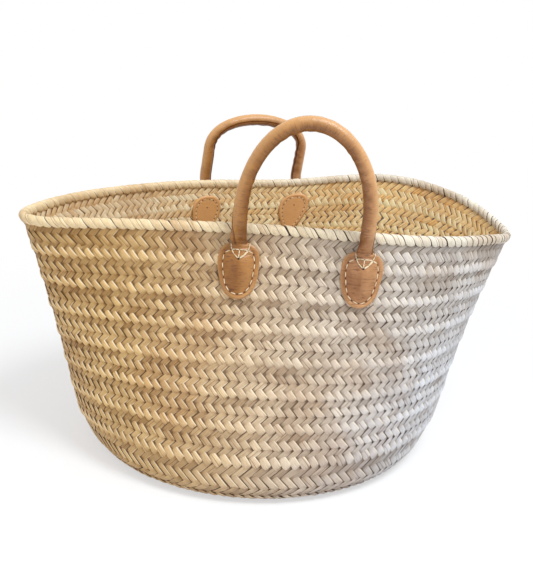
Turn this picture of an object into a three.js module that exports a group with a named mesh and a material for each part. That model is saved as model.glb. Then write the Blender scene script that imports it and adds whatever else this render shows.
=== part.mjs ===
// A market basket: a flat palm-leaf plait sewn edge to edge in turns, with a rope rim bound in leaf and
// two rolled-leather handles sewn to the wall through leather patches. Lengths are in millimetres.
// +X runs along the mouth to the right, +Y to the back and +Z up. The origin is the middle of the base's
// underside. Every place on the basket is a share of the way round (0 at the right end, then by the back,
// the left end and the front) and a share of the way up the wall.

import * as THREE from 'three';
import { LoftGeometry } from 'three/addons/geometries/LoftGeometry.js';

// Mouth: its size along the rim's top, and how far its middle lies from the base's middle
const MOUTH_LENGTH = 574;
const MOUTH_WIDTH = 310;
const MOUTH_SHIFT_RIGHT = 16;
const MOUTH_SHIFT_BACK = 24;
const RIM_HEIGHT = 282.5;
const RIM_WAVE = 20;

// The mouth's outline, squeezed by hand: shares of its half length, its half width and the rim's wave
const MOUTH_OUTLINE = [
  [1.00, -0.20, -1.10],
  [0.92, 0.42, 0.10],
  [0.63, 0.85, 0.75],
  [0.13, 1.00, 0],
  [-0.37, 0.80, 0],
  [-0.79, 0.31, -0.05],
  [-1.00, -0.23, -0.20],
  [-0.94, -0.47, -0.30],
  [-0.59, -0.64, -0.05],
  [-0.12, -0.80, 0.05],
  [0.39, -1.00, -0.05],
  [0.77, -0.73, -0.50],
];

// Base and wall
const BASE_LENGTH = 436;
const BASE_WIDTH = 400;
const BASE_TWIST = -4;
const CORNER_TUCK = 16;
const CORNER_SHARE = 0.25;
const WALL_HOLLOW = 5;

// Plait and the cord that sews its turns together
const PLAIT_THICKNESS = 5;
const CENTRE_RADIUS = 20;
const BASE_TURNS = 5;
const WALL_TURNS = 8;
const TOP_TURN_SHARE = 0.14;
const LOWEST_TURN_SHARE = 0.165;
const SEAM_CORD_RADIUS = 0.8;
const SEAM_CLEARANCE = 0.35;
const STATIONS = 48;
const ROW_DEPTH = 1.6;

// A wall turn's face from its lower ridge to its upper one: shares of the way up and of the rows' depth.
// The row under the upper ridge lies deepest.
const WALL_FACE = [
  [0, 0],
  [0.14, 0],
  [0.20, 0.5],
  [0.84, 1],
  [0.90, 0],
  [1, 0],
];
const BASE_FACE = [
  [0, 0],
  [1, 0],
];

// Rim: a rope on the top turn's edge, bound in leaf that reaches down both faces of that turn
const RIM_RADIUS = 5.6;
const BINDING_THICKNESS = 1.3;
const BINDING_REACH = 14;
const BINDING_CLEARANCE = 0.5;
const RIM_ROPE_CLEARANCE = 0.7;

// Handles
const FRONT_SPAN = 125.5;
const FRONT_HEIGHT = 117.5;
const FRONT_LEG = 28;
const REAR_SPAN = 132;
const REAR_HEIGHT = 97;
const REAR_LEG = 52;
const HANDLE_RADIUS = 7.25;
const SLEEVE_THICKNESS = 1.8;
const ROPE_CLEARANCE = 0.35;
const HANDLE_RIM_GAP = 3.6;
const FRONT_MIDDLE = 15.5;
const FRONT_LEAN = 0;
const REAR_MIDDLE = 11;
const REAR_LEAN = -5;

// Necks: each handle end is flat and thin at its hinge and swells to the round handle above it
const NECK_HALF_WIDTH = 6.6;
const NECK_HALF_DEPTH = 2.6;
const NECK_LENGTH = 16;
const NECK_FLARE = 4;
const NECK_END_DROP = 3.7;
const NECK_END_CHAMFER = 1.4;
const NECK_END_GAP = 0.8;
const PIVOT_STEP = 2.1;

// Leather patches, and the handle's root between the backing and the cover
const PATCH_WIDTH = 43;
const PATCH_HEIGHT = 58;
const PATCH_DROP = 21.5;
const PATCH_GAP = 0.5;
const BACKING_THICKNESS = 1.3;
const COVER_THICKNESS = 1.5;
const COVER_INSET = 1.5;
const INNER_PATCH_THICKNESS = 1.6;
const INNER_PATCH_GAP = 1;
const LAYER_GAP = 0.3;
const ROOT_GAP = 0.5;
const ROOT_HALF_WIDTH = 4.5;
const ROOT_TOP = 2.3;
const DOME_HEIGHT = 7;
const DOME_SHOULDER = 5;
const DOME_FOOT = 13;
const DOME_MARGIN = 0.6;
const STITCH_INSET = 4.5;
const THREAD_RADIUS = 0.5;
const THREAD_GAP = 0.75;

// A patch's outline from top to bottom: shares of its half height and half width
const PATCH_ROWS = [
  [1.00, 0.58],
  [0.93, 0.78],
  [0.70, 0.95],
  [0.28, 1.00],
  [-0.28, 0.91],
  [-0.66, 0.72],
  [-0.90, 0.42],
  [-1.00, 0.16],
];

// Shares of the dome's height that the cover's underside stands over the backing at each of those rows
const DOME_SHARES = [0.80, 0.80, 0.91, 1.00, 0.57, 0.17, 0, 0];

// The swell of a neck: shares of the way to the handle's height, width, depth and stand-off
const NECK_SWELL = [
  [0, 0, 0, 0],
  [0.5, 1, 0.65, 0.45],
  [1, 1, 1, 1],
];

const LEATHER = { color: 0xa9703f, roughness: 0.55, metalness: 0 };
const PALM_LEAF = { color: 0xcdb88c, roughness: 0.75, metalness: 0 };
const PALM_CORD = { color: 0xb59a63, roughness: 0.9, metalness: 0 };
const WAXED_THREAD = { color: 0xe9ddc0, roughness: 0.6, metalness: 0 };

const basket = new THREE.Group();

function addPiece(parent, name, geometry, finish) {
  const mesh = new THREE.Mesh(geometry, new THREE.MeshStandardMaterial(finish));
  mesh.name = name;
  parent.add(mesh);
}

// A closed loop of sections, as of a ring: the last section meets the first
function ringLoft(sections) {
  return new LoftGeometry([...sections, sections[0]]);
}

function plus(point, ...steps) {
  const moved = point.clone();
  for (const [direction, distance] of steps) {
    moved.addScaledVector(direction, distance);
  }
  return moved;
}

function unitBetween(from, to) {
  return to.clone().sub(from).normalize();
}

// The basket's surface

const mouthCurve = new THREE.CatmullRomCurve3(
  MOUTH_OUTLINE.map(([x, y, lift]) => new THREE.Vector3(
    MOUTH_SHIFT_RIGHT + x * MOUTH_LENGTH / 2,
    MOUTH_SHIFT_BACK + y * MOUTH_WIDTH / 2,
    RIM_HEIGHT + lift * RIM_WAVE,
  )),
  true,
  'catmullrom',
  0.5,
);
mouthCurve.arcLengthDivisions = 480;

function turnShare(share) {
  return ((share % 1) + 1) % 1;
}

// The middle of the wall's thickness, a share of the way round and a share of the way up
function wallPoint(round, up) {
  const angle = 2 * Math.PI * round + THREE.MathUtils.degToRad(BASE_TWIST);
  const outward = new THREE.Vector3(Math.cos(angle), Math.sin(angle), 0);
  const foot = new THREE.Vector3(
    outward.x * BASE_LENGTH / 2,
    outward.y * BASE_WIDTH / 2,
    PLAIT_THICKNESS / 2,
  );
  const cornerShare = Math.max(0, 1 - up / CORNER_SHARE);
  const inward = CORNER_TUCK * cornerShare ** 2 + WALL_HOLLOW * 4 * up * (1 - up);
  return foot.lerp(mouthCurve.getPointAt(turnShare(round)), up).addScaledVector(outward, -inward);
}

const LINES = BASE_TURNS + WALL_TURNS;
const CENTRE_SHARE = CENTRE_RADIUS / (BASE_LENGTH / 2 - CORNER_TUCK);

// How far up the wall a line lies: the top turn takes the rim's height as well as its own, and the lowest
// turn bends round the base's corner
function lineShare(line) {
  if (line === BASE_TURNS || line === LINES) {
    return line === LINES ? 1 : 0;
  }
  const way = (line - BASE_TURNS - 1) / (WALL_TURNS - 2);
  return THREE.MathUtils.lerp(LOWEST_TURN_SHARE, 1 - TOP_TURN_SHARE, way);
}

// The line between two turns of the plait: 0 is the edge of the coiled start, LINES the rim's top
function linePoint(station, line) {
  const round = turnShare(station / STATIONS);
  if (line > BASE_TURNS) {
    return wallPoint(round, lineShare(line));
  }
  const share = THREE.MathUtils.lerp(CENTRE_SHARE, 1, line / BASE_TURNS);
  const edge = wallPoint(round, 0);
  return new THREE.Vector3(edge.x * share, edge.y * share, edge.z);
}

// Directions at a line: up the wall, out of its face, and the mitre's stretch where the base turns up
function lineFrame(station, line) {
  const point = linePoint(station, line);
  const along = unitBetween(linePoint(station - 1, line), linePoint(station + 1, line));
  const lower = Math.max(line, 1);
  const upper = Math.min(line, LINES - 1);
  const below = unitBetween(linePoint(station, lower - 1), linePoint(station, lower));
  const above = unitBetween(linePoint(station, upper), linePoint(station, upper + 1));
  const up = below.clone().add(above).normalize();
  const out = along.clone().cross(up).normalize();
  return { point, below, above, up, out, stretch: 1 / up.dot(above) };
}

// Plait turns

const SEAM_HALF_GAP = SEAM_CORD_RADIUS * Math.cos(Math.PI / 6) + SEAM_CLEARANCE;
const RIM_ROPE_RADIUS = RIM_RADIUS - BINDING_THICKNESS - RIM_ROPE_CLEARANCE;
const RIM_SEAT = RIM_RADIUS + RIM_ROPE_RADIUS + SEAM_CLEARANCE;

function edgePoint(frame, side, upward, distance) {
  const halfThickness = side * PLAIT_THICKNESS / 2 * frame.stretch;
  return plus(frame.point, [frame.out, halfThickness], [upward, distance * frame.stretch]);
}

function turnGeometry(lowLine) {
  const topSeat = lowLine + 1 === LINES ? RIM_SEAT : SEAM_HALF_GAP;
  const places = lowLine < BASE_TURNS ? BASE_FACE : WALL_FACE;
  const sections = [];
  for (let station = 0; station < STATIONS; station += 1) {
    const low = lineFrame(station, lowLine);
    const high = lineFrame(station, lowLine + 1);
    const face = (side) => {
      const lowEdge = edgePoint(low, side, low.above, SEAM_HALF_GAP);
      const highEdge = edgePoint(high, side, high.below, -topSeat);
      return places.map(([share, depth]) => (
        plus(lowEdge.clone().lerp(highEdge, share), [high.out, -side * depth * ROW_DEPTH])
      ));
    };
    sections.push([...face(-1), ...face(1).reverse()]);
  }
  return ringLoft(sections);
}

function centreGeometry() {
  const rings = [-1, 1].map((side) => {
    const ring = [];
    for (let station = 0; station < STATIONS; station += 1) {
      const frame = lineFrame(station, 0);
      ring.push(edgePoint(frame, -side, frame.below, -SEAM_HALF_GAP));
    }
    return ring;
  });
  return new LoftGeometry(rings, { capStart: true, capEnd: true });
}

// A ring whose section is a list of [up, out] places about a line
function lineRing(line, places) {
  const sections = [];
  for (let station = 0; station < STATIONS; station += 1) {
    const frame = lineFrame(station, line);
    sections.push(places.map(([up, out]) => plus(frame.point, [frame.up, up], [frame.out, out])));
  }
  return ringLoft(sections);
}

// A round section about a place on the up direction, whose first corner lies a part of a turn from it
function roundPlaces(radius, sides, up = 0, first = 0) {
  const places = [];
  for (let side = 0; side < sides; side += 1) {
    const angle = 2 * Math.PI * (first + side / sides);
    places.push([up + radius * Math.cos(angle), radius * Math.sin(angle)]);
  }
  return places;
}

function addPlait() {
  addPiece(basket, 'base_centre', centreGeometry(), PALM_LEAF);
  for (let line = 0; line < LINES; line += 1) {
    const inBase = line < BASE_TURNS;
    const name = inBase ? `base_turn_${line + 1}` : `wall_turn_${line + 1 - BASE_TURNS}`;
    addPiece(basket, name, turnGeometry(line), PALM_LEAF);
    const cord = lineRing(line, roundPlaces(SEAM_CORD_RADIUS, 3, 0, 0.25));
    addPiece(basket, `seam_cord_${line + 1}`, cord, PALM_CORD);
  }
}

// Rim

const RIM_ARC_STEPS = 4;

// Places on a half circle over the rope, from the inner side over the top to the outer side
function rimArc(radius) {
  const places = [];
  for (let step = 0; step <= RIM_ARC_STEPS; step += 1) {
    const angle = Math.PI * (1 - step / RIM_ARC_STEPS);
    places.push([radius * Math.sin(angle) - RIM_RADIUS, radius * Math.cos(angle)]);
  }
  return places;
}

function addRim() {
  const skirtIn = PLAIT_THICKNESS / 2 + BINDING_CLEARANCE;
  const skirtOut = skirtIn + BINDING_THICKNESS;
  const binding = [
    [-BINDING_REACH, -skirtOut],
    ...rimArc(RIM_RADIUS),
    [-BINDING_REACH, skirtOut],
    [-BINDING_REACH, skirtIn],
    ...rimArc(RIM_RADIUS - BINDING_THICKNESS).reverse(),
    [-BINDING_REACH, -skirtIn],
  ];
  addPiece(basket, 'rim_binding', lineRing(LINES, binding), PALM_LEAF);
  addPiece(basket, 'rim_rope', lineRing(LINES, roundPlaces(RIM_ROPE_RADIUS, 6, -RIM_RADIUS)), PALM_CORD);
}

// Handle feet. A foot's places are along the wall, up it, and out from its outer face.

const BACKING_TOP = PATCH_GAP + BACKING_THICKNESS;
const COVER_UNDERSIDE = BACKING_TOP + LAYER_GAP;
const PIVOT_UP = PATCH_HEIGHT / 2 + ROOT_TOP + NECK_END_GAP + NECK_END_DROP;
const PIVOT_OUT = COVER_UNDERSIDE + DOME_SHARES[0] * DOME_HEIGHT / 2 + PIVOT_STEP;
const STAND_OFF = RIM_RADIUS - PLAIT_THICKNESS / 2 + HANDLE_RIM_GAP + HANDLE_RADIUS - PIVOT_OUT;

const PROBE = 1e-3;

function wallNormal(round, up) {
  const along = unitBetween(wallPoint(round - PROBE, up), wallPoint(round + PROBE, up));
  const upward = unitBetween(wallPoint(round, up - PROBE), wallPoint(round, up + PROBE));
  return along.cross(upward).normalize();
}

// Where the rim passes a given x, searching the front or the back half
function roundAtX(x, first, last) {
  const steps = 400;
  let best = first;
  for (let step = 0; step <= steps; step += 1) {
    const round = THREE.MathUtils.lerp(first, last, step / steps);
    const miss = Math.abs(wallPoint(round, 1).x - x);
    if (miss < Math.abs(wallPoint(best, 1).x - x)) {
      best = round;
    }
  }
  return best;
}

function makeFoot(round) {
  const slant = wallPoint(round, 1).distanceTo(wallPoint(round, 0));
  const up = 1 - (PATCH_DROP + PATCH_HEIGHT / 2) / slant;
  const speed = wallPoint(round - PROBE, up).distanceTo(wallPoint(round + PROBE, up)) / (2 * PROBE);
  return { round, up, slant, speed };
}

function onWall(foot, along, upward, outward) {
  const round = foot.round + along / foot.speed;
  const up = foot.up + upward / foot.slant;
  return plus(wallPoint(round, up), [wallNormal(round, up), PLAIT_THICKNESS / 2 + outward]);
}

function patchRow(row, inset) {
  const [heightShare, widthShare] = PATCH_ROWS[row];
  return {
    upward: heightShare * (PATCH_HEIGHT / 2 - inset),
    halfWidth: widthShare * (PATCH_WIDTH / 2 - inset),
  };
}

// The dome is flat over the root and falls to nothing at its foot
function domeHeight(upward, along) {
  const share = upward / (PATCH_HEIGHT / 2 - COVER_INSET);
  const below = Math.max(PATCH_ROWS.findIndex(([heightShare]) => heightShare <= share), 1);
  const [high] = PATCH_ROWS[below - 1];
  const [low] = PATCH_ROWS[below];
  const way = THREE.MathUtils.clamp((high - share) / (high - low), 0, 1);
  const crown = DOME_HEIGHT * THREE.MathUtils.lerp(DOME_SHARES[below - 1], DOME_SHARES[below], way);
  const fall = (Math.abs(along) - DOME_SHOULDER) / (DOME_FOOT - DOME_SHOULDER);
  return crown * (1 - THREE.MathUtils.clamp(fall, 0, 1));
}

// A sheet of leather on the wall
function leatherSheet(foot, inset, columns, lowest, thickness, domed) {
  const sections = PATCH_ROWS.map((shares, row) => {
    const { upward, halfWidth } = patchRow(row, inset);
    const places = columns.map((column) => column(halfWidth));
    const face = (along, rise) => {
      const height = domed ? domeHeight(upward, along) : 0;
      return onWall(foot, along, upward, lowest + height + rise);
    };
    const under = places.map((along) => face(along, 0));
    const over = places.map((along) => face(along, thickness)).reverse();
    return [...under, ...over];
  });
  return new LoftGeometry(sections, { capStart: true, capEnd: true });
}

const FLAT_COLUMNS = [-1, -1 / 3, 1 / 3, 1].map((share) => (halfWidth) => share * halfWidth);

const DOMED_COLUMNS = [-1, 1].flatMap((side) => {
  const edge = (halfWidth) => side * halfWidth;
  const foot = (halfWidth) => side * Math.min(DOME_FOOT, halfWidth - DOME_MARGIN);
  const shoulder = (halfWidth) => side * Math.min(DOME_SHOULDER, halfWidth / 2);
  return side < 0 ? [edge, foot, shoulder] : [shoulder, foot, edge];
});

// The handle's rope end lies flat under the dome and stands a little proud of the cover's lip
function rootGeometry(foot) {
  const lipTop = PATCH_HEIGHT / 2 - COVER_INSET;
  const rows = [
    { upward: PATCH_HEIGHT / 2 + ROOT_TOP, row: 0, share: 1 },
    { upward: lipTop, row: 0, share: 1 },
    { upward: patchRow(2, COVER_INSET).upward, row: 2, share: 1 },
    { upward: patchRow(3, COVER_INSET).upward, row: 3, share: 0.95 },
    { upward: patchRow(4, COVER_INSET).upward, row: 4, share: 0.5 },
  ];
  const sections = rows.map(({ upward, row, share }) => {
    const halfDepth = (DOME_SHARES[row] * DOME_HEIGHT - ROOT_GAP) / 2;
    const middle = COVER_UNDERSIDE + halfDepth;
    return roundPlaces(1, 8).map(([width, depth]) => (
      onWall(foot, width * ROOT_HALF_WIDTH * share, upward, middle + depth * halfDepth * share)
    ));
  });
  return new LoftGeometry(sections, { capStart: true, capEnd: true });
}

// The sewing line round the cover, as a closed cord that follows the dome
function threadGeometry(foot) {
  const rows = PATCH_ROWS.map((shares, row) => patchRow(row, COVER_INSET + STITCH_INSET));
  const side = (sign) => rows.map(({ upward, halfWidth }) => [sign * halfWidth, upward]);
  const lip = [-DOME_SHOULDER, DOME_SHOULDER].map((along) => [along, rows[0].upward]);
  const route = [...side(1), ...side(-1).reverse(), ...lip];
  const centres = route.map(([along, upward]) => {
    const surface = COVER_UNDERSIDE + domeHeight(upward, along) + COVER_THICKNESS;
    return { along, upward, lift: surface + THREAD_GAP + THREAD_RADIUS };
  });
  const sections = centres.map((centre, index) => {
    const next = centres[(index + 1) % centres.length];
    const previous = centres[(index + centres.length - 1) % centres.length];
    const direction = new THREE.Vector2(next.along - previous.along, next.upward - previous.upward);
    direction.normalize();
    return roundPlaces(THREAD_RADIUS, 3).map(([across, outward]) => onWall(
      foot,
      centre.along - across * direction.y,
      centre.upward + across * direction.x,
      centre.lift + outward,
    ));
  });
  return ringLoft(sections);
}

function addFoot(name, foot) {
  const backing = leatherSheet(foot, 0, FLAT_COLUMNS, PATCH_GAP, BACKING_THICKNESS, false);
  const cover = leatherSheet(foot, COVER_INSET, DOMED_COLUMNS, COVER_UNDERSIDE, COVER_THICKNESS, true);
  const innerFace = -PLAIT_THICKNESS - INNER_PATCH_GAP - INNER_PATCH_THICKNESS;
  const inner = leatherSheet(foot, COVER_INSET, FLAT_COLUMNS, innerFace, INNER_PATCH_THICKNESS, false);
  addPiece(basket, `${name}_backing`, backing, LEATHER);
  addPiece(basket, `${name}_root`, rootGeometry(foot), PALM_CORD);
  addPiece(basket, `${name}_cover`, cover, LEATHER);
  addPiece(basket, `${name}_inner_patch`, inner, LEATHER);
  addPiece(basket, `${name}_thread`, threadGeometry(foot), WAXED_THREAD);
}

// Handles. A handle's own frame has x from neck to neck, y inward and z up, with its hinge axis along x.

function neckEnd(chamfer) {
  return {
    height: NECK_END_CHAMFER - chamfer - NECK_END_DROP,
    halfWidth: NECK_HALF_WIDTH - chamfer,
    halfDepth: NECK_HALF_DEPTH - chamfer,
    out: 0,
  };
}

// Places on one leg: height over the hinge axis, half width, half depth and distance out
function legStations() {
  const swell = NECK_SWELL.map(([rise, widen, deepen, lean]) => ({
    height: THREE.MathUtils.lerp(NECK_FLARE, NECK_LENGTH, rise),
    halfWidth: THREE.MathUtils.lerp(NECK_HALF_WIDTH, HANDLE_RADIUS, widen),
    halfDepth: THREE.MathUtils.lerp(NECK_HALF_DEPTH, HANDLE_RADIUS, deepen),
    out: STAND_OFF * lean,
  }));
  return [neckEnd(NECK_END_CHAMFER), neckEnd(0), ...swell];
}

const ARCH_STEPS = 12;
const HANDLE_SIDES = 10;
const LEAST_BORE = 0.4;

// The handle's middle line from neck to neck, with the direction across it in the handle's plane
function handleStations(size, firstHeight) {
  const { halfSpan } = size;
  const leg = legStations().filter(({ height }) => height >= firstHeight);
  const left = leg.map((station) => ({ ...station, x: -halfSpan, z: station.height, tilt: Math.PI }));
  const right = leg.map((station) => ({ ...station, x: halfSpan, z: station.height, tilt: 0 })).reverse();
  const arch = [];
  for (let step = 0; step <= ARCH_STEPS; step += 1) {
    const angle = Math.PI * (1 - step / ARCH_STEPS);
    const rise = size.height - size.leg;
    arch.push({
      x: halfSpan * Math.cos(angle),
      z: size.leg + rise * Math.sin(angle),
      tilt: Math.atan2(halfSpan * Math.sin(angle), rise * Math.cos(angle)),
      halfWidth: HANDLE_RADIUS,
      halfDepth: HANDLE_RADIUS,
      out: STAND_OFF,
    });
  }
  return [...left, ...arch, ...right];
}

// A section of the handle, drawn in from its skin
function handleSection(station, drawnIn) {
  const across = new THREE.Vector3(Math.cos(station.tilt), 0, Math.sin(station.tilt));
  const outward = new THREE.Vector3(0, -1, 0);
  const middle = new THREE.Vector3(station.x, -station.out, station.z);
  const halfWidth = Math.max(station.halfWidth - drawnIn, LEAST_BORE);
  const halfDepth = Math.max(station.halfDepth - drawnIn, LEAST_BORE);
  return roundPlaces(1, HANDLE_SIDES).map(([width, depth]) => (
    plus(middle, [across, width * halfWidth], [outward, depth * halfDepth])
  ));
}

function sleeveGeometry(size) {
  const stations = handleStations(size, -NECK_END_DROP);
  const skin = stations.map((station) => handleSection(station, 0));
  const bore = stations.map((station) => handleSection(station, SLEEVE_THICKNESS)).reverse();
  return ringLoft([...skin, ...bore]);
}

function ropeGeometry(size) {
  const stations = handleStations(size, NECK_LENGTH);
  const drawnIn = SLEEVE_THICKNESS + ROPE_CLEARANCE;
  const sections = stations.map((station) => handleSection(station, drawnIn));
  return new LoftGeometry(sections, { capStart: true, capEnd: true });
}

function addHandle(name, firstFoot, lastFoot, lean, height, leg) {
  const firstPivot = onWall(firstFoot, 0, PIVOT_UP, PIVOT_OUT);
  const lastPivot = onWall(lastFoot, 0, PIVOT_UP, PIVOT_OUT);
  const axis = unitBetween(firstPivot, lastPivot);
  const level = new THREE.Vector3(-axis.y, axis.x, 0).normalize();
  const upright = axis.clone().cross(level).normalize();
  const angle = THREE.MathUtils.degToRad(-lean);
  const inward = plus(new THREE.Vector3(), [level, Math.cos(angle)], [upright, -Math.sin(angle)]);
  const up = axis.clone().cross(inward);
  const handle = new THREE.Group();
  handle.position.copy(firstPivot).lerp(lastPivot, 0.5);
  handle.quaternion.setFromRotationMatrix(new THREE.Matrix4().makeBasis(axis, inward, up));
  const size = { halfSpan: firstPivot.distanceTo(lastPivot) / 2, height, leg };
  addPiece(handle, `${name}_sleeve`, sleeveGeometry(size), LEATHER);
  addPiece(handle, `${name}_rope`, ropeGeometry(size), PALM_CORD);
  basket.add(handle);
}

function addHandles() {
  const frontLeft = makeFoot(roundAtX(FRONT_MIDDLE - FRONT_SPAN / 2, 0.5, 1));
  const frontRight = makeFoot(roundAtX(FRONT_MIDDLE + FRONT_SPAN / 2, 0.5, 1));
  const rearLeft = makeFoot(roundAtX(REAR_MIDDLE - REAR_SPAN / 2, 0, 0.5));
  const rearRight = makeFoot(roundAtX(REAR_MIDDLE + REAR_SPAN / 2, 0, 0.5));
  addFoot('front_left', frontLeft);
  addFoot('front_right', frontRight);
  addFoot('rear_left', rearLeft);
  addFoot('rear_right', rearRight);
  addHandle('front_handle', frontLeft, frontRight, FRONT_LEAN, FRONT_HEIGHT, FRONT_LEG);
  addHandle('rear_handle', rearRight, rearLeft, REAR_LEAN, REAR_HEIGHT, REAR_LEG);
}

addPlait();
addRim();
addHandles();

export default basket;
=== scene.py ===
# %% [markdown]
# # A market basket of sewn palm leaf
# The real basket is one long flat plait of date-palm leaf, four rows wide. It is coiled from the middle of
# the base to the rim and sewn edge to edge. A rope bound in leaf stiffens the mouth, and two handles of
# rolled leather are sewn on through leather patches.
#
# The lesson loads the plain solid model first. It is the frame: every new piece goes exactly where its solid
# is, in metres.

# %% Load the frame
import math

import bpy
import numpy as np
from mathutils import Matrix, Vector


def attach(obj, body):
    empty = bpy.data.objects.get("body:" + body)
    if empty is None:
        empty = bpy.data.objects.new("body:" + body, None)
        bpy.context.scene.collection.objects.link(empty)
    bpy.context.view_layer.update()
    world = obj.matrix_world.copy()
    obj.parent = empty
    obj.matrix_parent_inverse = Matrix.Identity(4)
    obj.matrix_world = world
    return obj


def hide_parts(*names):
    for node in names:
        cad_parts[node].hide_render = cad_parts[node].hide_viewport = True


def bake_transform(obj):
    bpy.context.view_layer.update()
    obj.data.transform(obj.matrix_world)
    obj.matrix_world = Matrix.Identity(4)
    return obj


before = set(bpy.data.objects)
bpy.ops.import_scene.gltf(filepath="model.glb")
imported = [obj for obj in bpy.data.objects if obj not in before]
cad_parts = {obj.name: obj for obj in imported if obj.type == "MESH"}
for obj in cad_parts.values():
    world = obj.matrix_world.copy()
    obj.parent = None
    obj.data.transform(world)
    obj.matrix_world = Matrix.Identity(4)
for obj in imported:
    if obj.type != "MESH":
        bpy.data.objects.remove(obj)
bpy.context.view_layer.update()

# %% [markdown]
# ## The camera
# A photograph's viewpoint is found by matching a few measured points of the object to its picture. Here
# that gave a place, three angles and a focal length in pixels. The camera looks along its own -Z, so its
# rotation matrix has the picture's right, the picture's up and minus the viewing direction as columns.

# %% Camera
CAMERA_PLACE = (-0.15001, -0.77843, 0.44677)
YAW, PITCH, ROLL = 0.193568, 0.330782, 0.060012
FOCAL_PIXELS, PICTURE_HEIGHT = 684.27, 583

scene = bpy.context.scene
camera_data = bpy.data.cameras.new("view_camera")
camera = bpy.data.objects.new("view_camera", camera_data)
scene.collection.objects.link(camera)
scene.camera = camera
camera_data.sensor_width = 36
camera_data.lens = FOCAL_PIXELS * camera_data.sensor_width / PICTURE_HEIGHT
ahead = Vector((math.sin(YAW) * math.cos(PITCH), math.cos(YAW) * math.cos(PITCH), -math.sin(PITCH)))
level = Vector((math.cos(YAW), -math.sin(YAW), 0))
above = level.cross(ahead)
right = math.cos(ROLL) * level + math.sin(ROLL) * above
upward = math.cos(ROLL) * above - math.sin(ROLL) * level
turn = Matrix((right, upward, -ahead)).transposed().to_4x4()
camera.matrix_world = Matrix.Translation(CAMERA_PLACE) @ turn
print("camera lens", round(camera_data.lens, 2), "mm")

# %% [markdown]
# ## Helpers for nodes
# The world, the floor and every finish are made of shader nodes. One helper adds a node, and one links or
# sets what goes into it. The place is only where the node lies in the node editor.

# %% Helpers for nodes


def add_node(tree, kind, place=(0, 0), **settings):
    made = tree.nodes.new(kind)
    made.location = place
    for key, value in settings.items():
        setattr(made, key, value)
    return made


def feed(tree, socket, value):
    """Links a socket to another node's output, or sets it to a plain value."""
    if hasattr(value, "is_output"):
        tree.links.new(value, socket)
    else:
        socket.default_value = value


print("helpers: add_node, feed")

# %% [markdown]
# ## Helpers for sums and mixes
# Each of these adds one kind of node and gives back what comes out of it, so that a finish reads as a list
# of steps: a sum, a range of numbers led smoothly to another range, or a mix of two shaders. The last one
# tells what the camera sees from what only gives light, so that a background can be white to the eye alone.

# %% Helpers for sums and mixes


def worked(tree, operation, *values, place=(0, 0)):
    """The result of one sum on numbers."""
    made = add_node(tree, "ShaderNodeMath", place, operation=operation)
    for socket, value in zip(made.inputs, values):
        feed(tree, socket, value)
    return made.outputs[0]


def mapped(tree, value, low, high, to_low=0.0, to_high=1.0, place=(0, 0)):
    """A number led smoothly from one range to another, and held at its ends."""
    made = add_node(tree, "ShaderNodeMapRange", place, interpolation_type="SMOOTHSTEP")
    names = ("Value", "From Min", "From Max", "To Min", "To Max")
    for name, given in zip(names, (value, low, high, to_low, to_high)):
        feed(tree, made.inputs[name], given)
    return made.outputs["Result"]


def mixed_shaders(tree, factor, first, second, place=(0, 0)):
    made = add_node(tree, "ShaderNodeMixShader", place)
    for socket, value in zip(made.inputs, (factor, first, second)):
        feed(tree, socket, value)
    return made.outputs[0]


def seen(tree, place):
    """1 where the camera or a reflection looks, and 0 where the surface only gives light."""
    path = add_node(tree, "ShaderNodeLightPath", place)
    rays = path.outputs["Is Camera Ray"], path.outputs["Is Glossy Ray"]
    return worked(tree, "MAXIMUM", *rays, place=(place[0] + 150, place[1] + 100))


print("helpers: worked, mapped, mixed_shaders, seen")

# %% [markdown]
# ## Soft light
# The world gives soft, slightly cool light from all round, and the camera sees it as plain white. One large
# lamp high on the right gives the leaf its shading, and a weak warm one on the left keeps the shadows open.

# %% Soft light
scene.view_settings.view_transform = "Standard"
world = bpy.data.worlds.new("studio")
scene.world = world
world.use_nodes = True
tree = world.node_tree
tree.nodes.clear()


def background(colour, strength, place):
    made = add_node(tree, "ShaderNodeBackground", place)
    made.inputs["Color"].default_value = (*colour, 1)
    made.inputs["Strength"].default_value = strength
    return made.outputs[0]


soft_light = background((0.95, 0.965, 1.0), 0.60, (-300, 100))
plain_white = background((1, 1, 1), 1.0, (-300, -100))
sky = mixed_shaders(tree, seen(tree, (-600, 200)), soft_light, plain_white)
feed(tree, add_node(tree, "ShaderNodeOutputWorld", (200, 0)).inputs["Surface"], sky)


def area_lamp(name, place, target, size, watts, colour):
    data = bpy.data.lights.new(name, "AREA")
    data.shape = "DISK"
    data.size = size
    data.energy = watts
    data.color = colour
    lamp = bpy.data.objects.new(name, data)
    scene.collection.objects.link(lamp)
    aim = Vector(target) - Vector(place)
    lamp.matrix_world = Matrix.Translation(place) @ aim.to_track_quat("-Z", "Y").to_matrix().to_4x4()


area_lamp("key_lamp", (0.55, -0.75, 1.9), (0, 0, 0.2), 0.8, 32, (0.91, 0.955, 1.0))
area_lamp("fill_lamp", (-1.3, -1.3, 0.9), (0, 0, 0.15), 1.2, 5, (1.0, 0.90, 0.77))
print("light: world and two lamps")

# %% [markdown]
# ## The floor
# The basket stands on a plain pale floor. Near the basket the floor is a pale surface that takes a shadow.
# Further out it fades into white, so that no edge of the floor shows. It lies a little low, because the
# floats of the base bulge under the solid's flat underside.

# %% The floor
FLOOR_SIZE, FLOOR_LEVEL = 12, -0.0008
FADE_START, FADE_END = 0.25, 0.85


def deselect():
    bpy.ops.object.select_all(action="DESELECT")


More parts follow.
